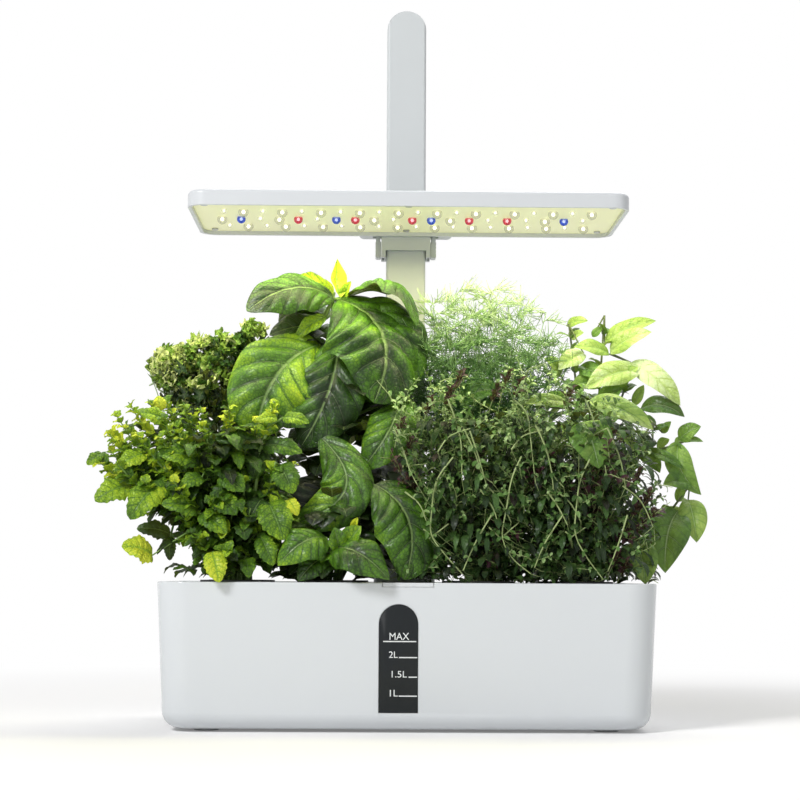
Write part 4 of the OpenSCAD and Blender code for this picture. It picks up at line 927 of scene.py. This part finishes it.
def within(outline, point):
    """Does the camera see the point inside an outline of (x, z) mm drawn at y = 0?"""
    eye = Vector(CAMERA_AT)
    seen = (eye + (point - eye) * (-eye.y / (point.y - eye.y))) / MM
    inside = False
    for (x1, z1), (x2, z2) in zip(outline, outline[1:] + outline[:1]):
        if (z1 > seen.z) != (z2 > seen.z) and seen.x < x1 + (x2 - x1) * (seen.z - z1) / (z2 - z1):
            inside = not inside
    return inside


def ties(leaves, paths):
    """Stalks from the nearest point of some paths to the foot of each leaf of a table."""
    joints = [p for path in paths for p in path]
    feet = [mm(leaf[0]) for leaf in leaves]
    return [[min(joints, key=lambda p: (p - foot).length), foot] for foot in feet]


def sprig(plant, form, path, gap, size, width, tones, picks, start=0.25, spread=50, droop=0.3,
          outline=None, core=None, span=0.1):
    """Crossed pairs of leaves up a stem, smaller towards its tip, with painted shade near the core and
    painted light away from it.
    """
    lengths = [(b - a).length for a, b in zip(path, path[1:])]
    whole = sum(lengths)
    gone, pair = whole * start, 0
    while gone < whole - gap * 0.2:
        left, k = gone, 0
        while k < len(lengths) - 1 and left > lengths[k]:
            left -= lengths[k]
            k += 1
        at = path[k].lerp(path[k + 1], min(1, left / lengths[k]))
        way = (path[k + 1] - path[k]).normalized()
        side = way.orthogonal().normalized()
        side = Matrix.Rotation(pair * math.pi / 2 + picks.uniform(-0.4, 0.4), 3, way) @ side
        scale = 1 - 0.45 * (gone / whole) ** 2
        # painted light and shade: leaves near the core get a darker tone, those far from it a lighter one
        core_light_and_shade = 0.7 * (min(1, (at - core).length / span) - 0.6) if core else 0
        for turn in (0, math.pi):
            out = Matrix.Rotation(turn, 3, way) @ side
            angle = math.radians(spread + picks.uniform(-15, 15))
            aim = (out * math.sin(angle) + way * math.cos(angle)
                   - Vector((0, 0, droop * picks.uniform(0.3, 1.2)))).normalized()
            tip = at + aim * size * scale * picks.uniform(0.8, 1.15)
            wide = width * scale * picks.uniform(0.85, 1.1)
            tone, fold = picks.uniform(*tones) + core_light_and_shade, picks.uniform(0, 0.35)
            if outline is None or within(outline, tip):
                set_leaf(plant, form, at, tip, wide, tone, arch=0.15, fold=fold,
                         face=way * 0.5 + Vector((0, -0.5, 0.8)))
        gone += gap * (1 - 0.5 * gone / whole)
        pair += 1


MINT_OUTLINE = (
    (-201, 165), (-200, 180), (-196, 193), (-186, 205), (-177, 208), (-157, 209), (-141, 211),
    (-122, 209), (-89, 212), (-71, 210), (-64, 181), (-63, 143), (-64, 90), (-130, 90), (-142, 111),
    (-150, 129), (-173, 128), (-176, 145), (-193, 139), (-199, 144), (-198, 158),
)
MINT = (
    ((-168, -50, 146), (-188, -60, 136), 17, 0.72), ((-150, -55, 147), (-166, -66, 125), 19, 0.7),
    ((-153, -60, 104), (-170, -72, 109), 17, 0.95), ((-144, -45, 117), (-164, -50, 120), 12, 0.25),
    ((-144, -45, 115), (-144, -46, 101), 7, 0.25), ((-187, -40, 166), (-196, -42, 159), 8, 0.75),
    ((-152, -38, 193), (-154, -38, 202), 8, 1.0), ((-148, -44, 186), (-164, -48, 191), 11, 0.75),
    ((-159, -50, 166), (-176, -56, 156), 12, 0.8), ((-126, -50, 161), (-151, -60, 165), 16, 0.55),
    ((-117, -62, 140), (-102, -72, 128), 15, 0.55), ((-88, -60, 138), (-95, -66, 124), 15, 0.35),
    ((-84, -62, 136), (-74, -74, 113), 20, 0.62), ((-78, -55, 159), (-69, -66, 141), 16, 0.55),
    ((-89, -45, 170), (-94, -50, 150), 14, 0.4), ((-90, -48, 171), (-117, -58, 174), 12, 0.5),
    ((-88, -48, 171), (-64, -56, 166), 13, 0.45), ((-116, -74, 106), (-111, -82, 88), 13, 0.95),
    ((-124, -62, 129), (-108, -70, 117), 13, 0.55), ((-126, -60, 131), (-147, -70, 134), 14, 0.5),
    ((-137, -50, 141), (-157, -60, 144), 16, 0.45), ((-124, -60, 151), (-136, -66, 145), 11, 0.5),
    ((-88, -66, 115), (-80, -74, 98), 12, 0.55), ((-80, -44, 194), (-84, -44, 200), 6, 0.9),
    ((-76, -52, 188), (-60, -58, 184), 9, 0.6), ((-80, -50, 188), (-92, -54, 186), 8, 0.85),
    ((-72, -62, 138), (-66, -66, 128), 8, 0.95), ((-112, -62, 152), (-98, -70, 142), 14, 0.5),
)
MINT_TIPS = (
    (-190, -42, 164), (-184, -46, 180), (-178, -52, 190), (-172, -38, 198), (-160, -38, 200),
    (-150, -34, 202), (-138, -38, 198), (-128, -36, 196), (-176, -60, 160), (-160, -62, 150),
    (-150, -60, 176), (-164, -56, 178), (-140, -62, 182), (-124, -60, 184), (-110, -44, 196),
    (-98, -52, 184), (-82, -48, 198), (-80, -60, 160), (-76, -62, 140), (-94, -70, 132),
    (-116, -72, 140), (-126, -72, 116), (-106, -78, 108), (-140, -70, 148), (-128, -20, 190),
    (-104, -16, 180), (-150, -14, 170), (-88, -24, 176), (-122, -58, 156), (-98, -62, 152),
    (-138, -58, 132), (-150, -50, 190), (-92, -48, 188), (-110, -68, 122), (-168, -10, 178),
)
mint = new_plant()
crown = crowns["mint"]
# middle of the painted shade on the mint's sprigs
mint_core = mm((-112, -15, 115))
picks = random.Random(21)
paths = []
for tip in MINT_TIPS:
    for stray in (0, 1, 1):
        foot = near(crown, 9, picks)
        end = mm(tip)
        if stray:
            end += mm((picks.uniform(-8, 12), picks.uniform(2, 26), picks.uniform(-24, 2)))
        paths.append(bend(foot, end, 0.3))
        fine = 0.75 if tip[2] > 174 else 1.0
        sprig(mint, small_mint, paths[-1], 10 * fine * MM, 14 * fine * MM, 11.5 * fine * MM,
              (0.26, 0.82), picks, 0.35, outline=MINT_OUTLINE, core=mint_core, span=0.09)
add_stems(mint, paths, 0.8 * MM, 0.5)
add_stems(mint, [[mm(p) for p in ((-98, -40, 92), (-95, -48, 120), (-93, -50, 140),
                                  (-90, -47, 170), (-80, -46, 192))]], 1.4 * MM, 0.7, 2)
for foot, tip, width, tone in MINT:
    set_leaf(mint, mint_leaf, mm(foot), mm(tip), width * 1.1 * MM, tone,
             arch=0.14, cup=-0.3, fold=0.1)
add_stems(mint, ties(MINT, [path[4:] for path in paths]), 0.7 * MM, 0.7)
spine = [crown + mm((-x, 8, z)) for x, z in ((0, 4), (6, 40), (14, 70), (22, 95))]
inner_leaves(mint, small_mint, spine, 200, 36, (11, 17), (8, 13), (0.05, 0.6), picks)
plant_out("mint", mint, mint_skin, green_stem)


# ---------- parsley ----------
# Curled parsley behind the mint: pale stalks that each fan out into a head of small
# lobed leaflets, so curled that a head looks like moss.

parsley_skin = leaf_skin("parsley_leaf", ((0.0, (0.003, 0.010, 0.003)), (0.3, (0.016, 0.055, 0.008)),
                         (0.5, (0.100, 0.240, 0.028)), (0.75, (0.400, 0.580, 0.100)),
                         (1.0, (0.760, 0.820, 0.360))), (0.24, 0.40, 0.10), 4, 1.0, 650, 0.4, 0.15,
                         0.4, 0.1, 0.1)
parsley_leaf = leaf_form("parsley_leaf", 6, 12, 0.4, 0.5, 4, 0.5, 4, 1.0, 0.1, 0.1, 0.5, 2.5,
                         lobes=0.3)
PARSLEY_OUTLINE = (
    (-166, 222), (-160, 238), (-152, 246), (-144, 243), (-134, 243), (-125, 249), (-116, 255),
    (-108, 258), (-90, 254), (-88, 208), (-93, 175), (-139, 175), (-152, 208), (-161, 214),
)
PARSLEY_HEADS = (  # middle of each head, how far it spreads, and its tone
    ((-163, 16, 221), 11, 0.6), ((-146, 22, 232), 12, 0.65), ((-156, 14, 226), 9, 0.7),
    ((-130, 26, 240), 14, 0.55), ((-113, 24, 236), 14, 0.5), ((-97, 22, 248), 13, 0.7),
    ((-108, 18, 214), 13, 0.5), ((-114, 12, 196), 12, 0.4), ((-131, 10, 210), 14, 0.5),
    ((-150, 8, 212), 12, 0.6), ((-134, 30, 226), 13, 0.5), ((-100, 30, 232), 11, 0.6),
    ((-124, 14, 224), 13, 0.55), ((-140, 12, 198), 10, 0.45), ((-156, 30, 214), 9, 0.5),
    ((-118, 46, 236), 13, 0.5), ((-144, 46, 222), 12, 0.5), ((-100, 48, 222), 11, 0.5),
    ((-126, 40, 204), 12, 0.45), ((-110, 36, 196), 10, 0.4),
)
parsley = new_plant()
picks = random.Random(31)
crown = crowns["parsley"]
paths = []
for middle, spread, tone in PARSLEY_HEADS:
    middle = mm(middle)
    foot = near(crown, 8, picks)
    hub = middle - mm((0, 0, spread * 0.5))
    paths.append(bend(foot, hub, 0.4))
    for i in range(40):
        out = Vector((picks.gauss(0, 1), picks.gauss(0, 1), picks.gauss(0.2, 0.8))).normalized()
        at = middle + out * picks.uniform(0.1, 0.8) * spread * MM
        tip = at + (out + Vector((0, -0.2, 0.2))) * picks.uniform(4, 7) * MM
        wide = picks.uniform(5, 8) * MM
        # painted light: leaflets that face up and towards the front get a lighter tone
        light = tone + 0.15 + picks.uniform(-0.55, 0.35) + 0.3 * out.z - 0.1 * out.y
        fold = picks.uniform(0.1, 0.6)
        if within(PARSLEY_OUTLINE, tip):
            set_leaf(parsley, parsley_leaf, at, tip, wide, light, arch=0.2, fold=fold,
                     face=out + Vector((0, -0.8, 0.5)))
        if i % 8 == 0:
            paths.append([hub, hub.lerp(at, 0.6), at])
add_stems(parsley, paths, 0.8 * MM, 0.5)
pale_stem = stem_skin("pale_stem", (0.28, 0.40, 0.18), (0.55, 0.64, 0.42))
spine = [crown + mm((-x, 0, z)) for x, z in ((0, 30), (8, 70), (16, 105), (20, 140))]
inner_leaves(parsley, parsley_leaf, spine, 240, 32, (6, 10), (6, 9), (0.0, 0.3), picks)
plant_out("parsley", parsley, parsley_skin, pale_stem)


# ---------- dill ----------
# Dill behind the thyme: soft upright stalks whose leaves are plumes of threads, forked
# again and again, that together stand like pale green smoke.

dill_skin, skin = new_material("dill_thread")
# painted light and shade: the threads are darker low down and paler towards the top, with some noise
height = step(dill_skin, "ShaderNodeSeparateXYZ", own_place(dill_skin)).node.outputs[2]
height = maths(dill_skin, "MULTIPLY_ADD", speckle(dill_skin, 160, 4), 0.14, height)
feed(dill_skin, skin["Base Color"], shades(
    dill_skin, remap(dill_skin, height, 0.23, 0.36, 0.0, 1.0),
    ((0.0, (0.008, 0.030, 0.005)), (0.35, (0.055, 0.150, 0.030)), (0.65, (0.220, 0.380, 0.120)),
     (1.0, (0.620, 0.740, 0.420)))))
skin["Roughness"].default_value = 0.5
DILL_OUTLINE = (
    (-8, 244), (-6, 273), (0, 289), (11, 298), (26, 289), (46, 298), (62, 292), (75, 286),
    (91, 279), (103, 266), (105, 246), (111, 217), (101, 168), (10, 170), (-7, 221),
)
DILL_PLUMES = 44
dill = new_plant()
picks = random.Random(41)
crown = crowns["dill"]
stalks, ribs, threads = [], [], []
for i in range(DILL_PLUMES):
    turn = 2 * math.pi * i * 0.618
    reach = 62 * ((i + 0.5) / DILL_PLUMES) ** 0.45
    top = 290 - 0.012 * reach ** 2 - picks.uniform(0, 34)
    tip = mm((46 + reach * math.cos(turn), 16 + 0.45 * reach * math.sin(turn), top))
    foot = near(crown, 6, picks)
    stalk = bend(foot, tip, 0.42, 12)
    stalks.append(stalk)
    for j in range(14):
        at = stalk[6].lerp(stalk[11], j / 13)
        way = Matrix.Rotation(j * 2.4 + i, 3, "Z") @ Vector((1, 0, picks.uniform(-0.1, 0.8)))
        reach_out = 20 * MM * (1 - j / 24)
        rib = [at + way.normalized() * reach_out * k / 4 + mm((0, 0, 1.1 * k - 0.45 * k * k))
               for k in range(5)]
        ribs.append(rib)
        for k in range(1, 5):
            for side in range(3):
                aim = (Matrix.Rotation(side * 2.1 + j + k, 3, way) @ way.orthogonal().normalized()
                       + way.normalized() * 1.6 + Vector((0, 0, 0.2))).normalized()
                length = picks.uniform(6, 13) * MM
                curl = Vector((picks.uniform(-1, 1), 0, picks.uniform(-1, 1))) * 0.4 * MM
                thread = [rib[k] + aim * length * q / 2 + curl * 2 * q * q for q in range(3)]
                if within(DILL_OUTLINE, thread[2]):
                    threads.append(thread)
add_stems(dill, stalks, 0.6 * MM, 0.4)
add_stems(dill, ribs, 0.34 * MM, 0.5, 0)
add_stems(dill, threads, 0.3 * MM, 0.5, 0)
spine = [crown + mm((0, 0, rise)) for rise in (5, 35, 65, 95)]
inner_leaves(dill, parsley_leaf, spine, 160, 40, (6, 10), (5, 8), (0.0, 0.2), picks)
plant_out("dill", dill, parsley_skin, dill_skin)


# ---------- lemon basil ----------
# Lemon basil leans out over the tank's right end: thin dark stems with long pale leaves,
# folded along the midrib, that catch the light, and darker ones that hang below.

lemon_skin = leaf_skin("lemon_basil_leaf", ((0.0, (0.006, 0.018, 0.005)),
                       (0.3, (0.030, 0.095, 0.014)), (0.55, (0.130, 0.270, 0.040)),
                       (0.8, (0.360, 0.500, 0.120)), (1.0, (0.620, 0.730, 0.440))),
                       (0.50, 0.62, 0.34), 6, 1.1, 380, 0.4, 0.2, 0.35, 0.12, 0.05, 0.15)
lemon_leaf = leaf_form("lemon_leaf", 10, 22, 0.7, 0.95, 0, 0, 6, 1.1, 0.08, 0.08, 0.05, 1.5)
LEMON_BASIL = (
    ((129, 18, 244), (161, 6, 257), 14, 0.75, {}), ((132, 14, 237), (157, 0, 249), 16, 0.85, {}),
    ((131, 12, 236), (107, 2, 239), 13, 0.75, {}), ((114, 8, 236), (97, 0, 224), 14, 0.95, {}),
    ((105, 24, 256), (118, 16, 258), 9, 0.75, {}), ((108, 20, 247), (115, 14, 250), 8, 0.8, {}),
    ((121, 18, 248), (128, 16, 254), 6, 0.6, {}), ((149, 4, 225), (113, -8, 211), 20, 0.9, {}),
    ((144, 8, 230), (174, -6, 201), 18, 0.98, {}), ((124, 0, 202), (137, -8, 212), 16, 0.6, {}),
    ((111, -48, 200), (148, -62, 181), 17, 0.78, {}), ((150, 4, 200), (177, -4, 194), 15, 0.35,
                                                    dict(arch=0.25)),
    ((146, 4, 202), (152, 2, 215), 7, 0.6, {}), ((174, 0, 180), (187, -6, 188), 13, 0.6, {}),
    ((174, 0, 179), (188, -8, 178), 6, 0.5, {}), ((159, -2, 189), (149, -8, 193), 7, 0.5, {}),
    ((163, -2, 184), (168, -6, 191), 6, 0.6, {}), ((158, -2, 186), (166, -8, 188), 5, 0.5, {}),
    ((156, -8, 179), (144, -16, 174), 13, 0.1, {}), ((145, -10, 173), (134, -16, 181), 11, 0.7, {}),
    ((173, -4, 178), (185, -16, 144), 18, 0.58, dict(arch=0.1, sweep=0.2)),
    ((150, -8, 172), (174, -18, 160), 9, 0.45, {}), ((178, -14, 152), (160, -22, 150), 15, 0.5, {}),
    ((177, -14, 141), (180, -26, 114), 18, 0.72, {}),
    ((170, -18, 134), (159, -34, 95), 27, 0.45, dict(arch=0.18, sweep=0.08)),
    ((142, -34, 114), (145, -46, 88), 20, 0.7, {}), ((143, -34, 122), (150, -38, 118), 9, 0.2, {}),
    ((140, -26, 132), (156, -34, 121), 14, 0.5, {}), ((110, -8, 178), (94, -16, 185), 20, 0.6, {}),
    ((116, -10, 172), (129, -18, 184), 20, 0.6, {}), ((106, -60, 186), (114, -70, 157), 27, 0.6, {}),
    ((97, -50, 198), (70, -62, 196), 10, 0.8, {}), ((34, 6, 205), (60, -4, 211), 20, 0.45, {}),
    ((128, 10, 218), (104, 0, 212), 15, 0.65, {}), ((134, 6, 214), (148, -2, 226), 13, 0.7, {}),
    ((112, 10, 228), (126, 0, 216), 14, 0.55, {}), ((100, 14, 222), (88, 4, 232), 12, 0.8, {}),
    ((104, 6, 206), (88, -4, 200), 16, 0.6, {}), ((150, 0, 172), (160, -10, 158), 12, 0.4, {}),
)
lemon = new_plant()
picks = random.Random(51)
crown = crowns["lemon_basil"]
for foot, tip, width, tone, bends in LEMON_BASIL:
    set_leaf(lemon, lemon_leaf, mm(foot), mm(tip), width * MM, tone,
             **{"arch": 0.12, "fold": 0.2, "cup": -0.2, **bends})
LEMON_STEMS = (
    ((129, 18, 262), (124, 14, 200), (112, 18, 140)), ((147, 8, 229), (128, 12, 180), (110, 20, 120)),
    ((176, -4, 178), (150, 4, 170), (118, 16, 120)), ((178, -14, 150), (166, -14, 134), (124, 10, 104)),
    ((106, 20, 256), (112, 16, 200), (104, 22, 130)), ((156, -8, 190), (141, -8, 168), (112, 14, 110)),
    ((116, -10, 176), (116, 0, 150), (106, 16, 110)), ((144, -30, 130), (130, -14, 112), (110, 12, 94)),
)
stems = [[near(crown, 6, picks)] + [mm(p) for p in reversed(points)]
         for points in LEMON_STEMS]
for path in stems:
    sprig(lemon, lemon_leaf, path, 20 * MM, 19 * MM, 11 * MM, (0.35, 0.8), picks, 0.3)
add_stems(lemon, stems, 1.2 * MM, 0.5)
add_stems(lemon, ties(LEMON_BASIL, [path[1:] for path in stems]), 0.6 * MM, 0.8)
spine = [crown + mm((x, -4, z)) for x, z in ((0, 10), (6, 50), (14, 85), (20, 125))]
inner_leaves(lemon, inner, spine, 90, 22, (10, 18), (8, 13), (0.1, 0.5), picks)
inner_leaves(lemon, lemon_leaf, spine, 34, 16, (18, 34), (12, 19), (0.35, 0.75), picks, 0.15, 1,
             (20, 160))
dark_stem = stem_skin("dark_stem", (0.05, 0.07, 0.025), (0.15, 0.19, 0.06))
plant_out("lemon_basil", lemon, lemon_skin, dark_stem)


# ---------- thyme and creeping thyme ----------
# Two wiry thymes fill the front right: dozens of thin woody stems, each set with pairs
# of tiny dark leaves, purple on the youngest shoots.

thyme_skin = leaf_skin("thyme_leaf", ((0.0, (0.050, 0.008, 0.022)), (0.12, (0.040, 0.010, 0.020)),
                       (0.2, (0.004, 0.010, 0.004)), (0.45, (0.018, 0.050, 0.010)),
                       (0.75, (0.130, 0.270, 0.060)), (1.0, (0.480, 0.640, 0.280))),
                       (0.10, 0.20, 0.05), 4, 1.0, 700, 0.4, 0.1, 0.1, 0.04, 0.04)
thyme_leaf = leaf_form("thyme_leaf", 2, 4, 0.6, 0.6, 0, 0, 3, 1.0, 0.0, 0.1)
wiry = stem_skin("wiry_stem", (0.16, 0.23, 0.06), (0.50, 0.60, 0.26))
THYME_OUTLINE = (
    (-12, 210), (-4, 219), (30, 227), (75, 227), (111, 223), (131, 211), (154, 183), (164, 160),
    (168, 130), (160, 103), (147, 88), (48, 88), (43, 98), (30, 103), (17, 88), (-4, 88), (-10, 143),
)
FRONT_TWIGS = (  # of one thyme; the other's stand the same distance to its right
    ((23, 200), (28, 190), (32, 173), (33, 150)), ((19, 168), (25, 176), (36, 180)),
    ((25, 164), (17, 149), (15, 130), (14, 116), (21, 104), (32, 92)), ((14, 116), (23, 123)),
    ((8, 121), (14, 116)), ((-1, 144), (7, 134), (12, 125)), ((-8, 182), (-1, 167), (2, 154), (7, 147)),
    ((36, 180), (44, 164), (46, 146)), ((48, 128), (40, 112), (34, 96)), ((46, 146), (56, 138), (62, 124)),
)
TWIG_SHIFT = 42
PURPLE_TIPS = {  # ends of the young purple shoots
    "thyme": ((14, 199), (26, 205), (32, 215), (54, 207), (61, 215), (68, 210), (-3, 186), (2, 174),
              (43, 165)),
    "creeping_thyme": ((98, 205), (139, 156), (145, 144), (139, 138), (126, 107), (131, 102),
                       (86, 165), (79, 156)),
}


def rounded(path):
    """Cuts a path's corners, twice over."""
    for _ in range(2):
        cut = [p.lerp(q, t) for p, q in zip(path, path[1:]) for t in (0.25, 0.75)]
        path = [path[0], *cut[1:-1], path[-1]]
    return path


THYMES = (  # herb, left and right ends of the patch, which front twigs, seed
    ("thyme", -10, 92, (0,), 61), ("creeping_thyme", 58, 160, (1, 2), 62),
)
for herb, left, right, shifts, seed in THYMES:
    thyme = new_plant()
    picks = random.Random(seed)
    crown = crowns[herb]
    # middle of the painted shade on the thyme's sprigs
    core = crown + mm((0, 25, 40))
    paths = []
    for i in range(90):
        x = left + (right - left) * (i * 0.618 % 1)
        y = picks.uniform(-72, -10)
        z = picks.uniform(96, 216)
        if not within(THYME_OUTLINE, mm((x, y, z))):
            continue
        foot = near(crown, 9, picks)
        path = bend(foot, mm((x, y, z)), 0.35, 12)
        path = [p + mm((picks.uniform(-1, 1), picks.uniform(-1, 1), 0)) for p in path]
        paths.append(path)
        young = i % 14 == 0
        tones = (-0.1, 0.08) if young else (0.32, 0.9)
        leaf_mm = 6.5 if young else 5.2
        for j in (12, 4, 5, 6, 7, 8, 9, 10, 11):
            twig = path
            if j < 12:
                aim = Vector((picks.uniform(-1, 1), picks.uniform(-1, 0.4), picks.uniform(-0.3, 1)))
                offshoot = aim.normalized() * picks.uniform(9, 22) * MM
                twig = bend(path[j], path[j] + offshoot, 0.15, 4)
                paths.append(twig)
            sprig(thyme, thyme_leaf, twig, 5 * MM, leaf_mm * MM, 2.8 * MM, tones, picks, 0.1, 60,
                  0.1, outline=THYME_OUTLINE, core=None if young else core, span=0.1)
    front = [rounded([mm((x + shift * TWIG_SHIFT + picks.uniform(-2, 2), -70 - 2 * (k % 3),
                          z + picks.uniform(-2, 2))) for x, z in twig])
             for shift in shifts for k, twig in enumerate(FRONT_TWIGS)]
    for twig in front:
        paths.append(bend(crown, min(twig, key=lambda p: p.z), 0.3, 8))
        sprig(thyme, thyme_leaf, twig, 11 * MM, 6 * MM, 3.2 * MM, (0.4, 0.9), picks, 0.3, 60, 0.1)
    for x, z in PURPLE_TIPS[herb]:
        end = mm((x, -68, z))
        shoot = bend(end + mm((-5, 14, -16)), end, 0.2, 5)
        sprig(thyme, thyme_leaf, shoot, 4 * MM, 9 * MM, 4 * MM, (-0.15, 0.06), picks, 0.35, 35, 0)
        paths.append(shoot)
    add_stems(thyme, paths, 0.38 * MM, 0.5, 0)
    add_stems(thyme, front, 0.55 * MM, 0.6, 1)
    spine = [crown + mm((0, 8, rise)) for rise in (2, 35, 65, 105)]
    inner_leaves(thyme, thyme_leaf, spine, 1500, 46, (5, 8), (3, 5), (0.2, 0.6), picks)
    plant_out(herb, thyme, thyme_skin, wiry)
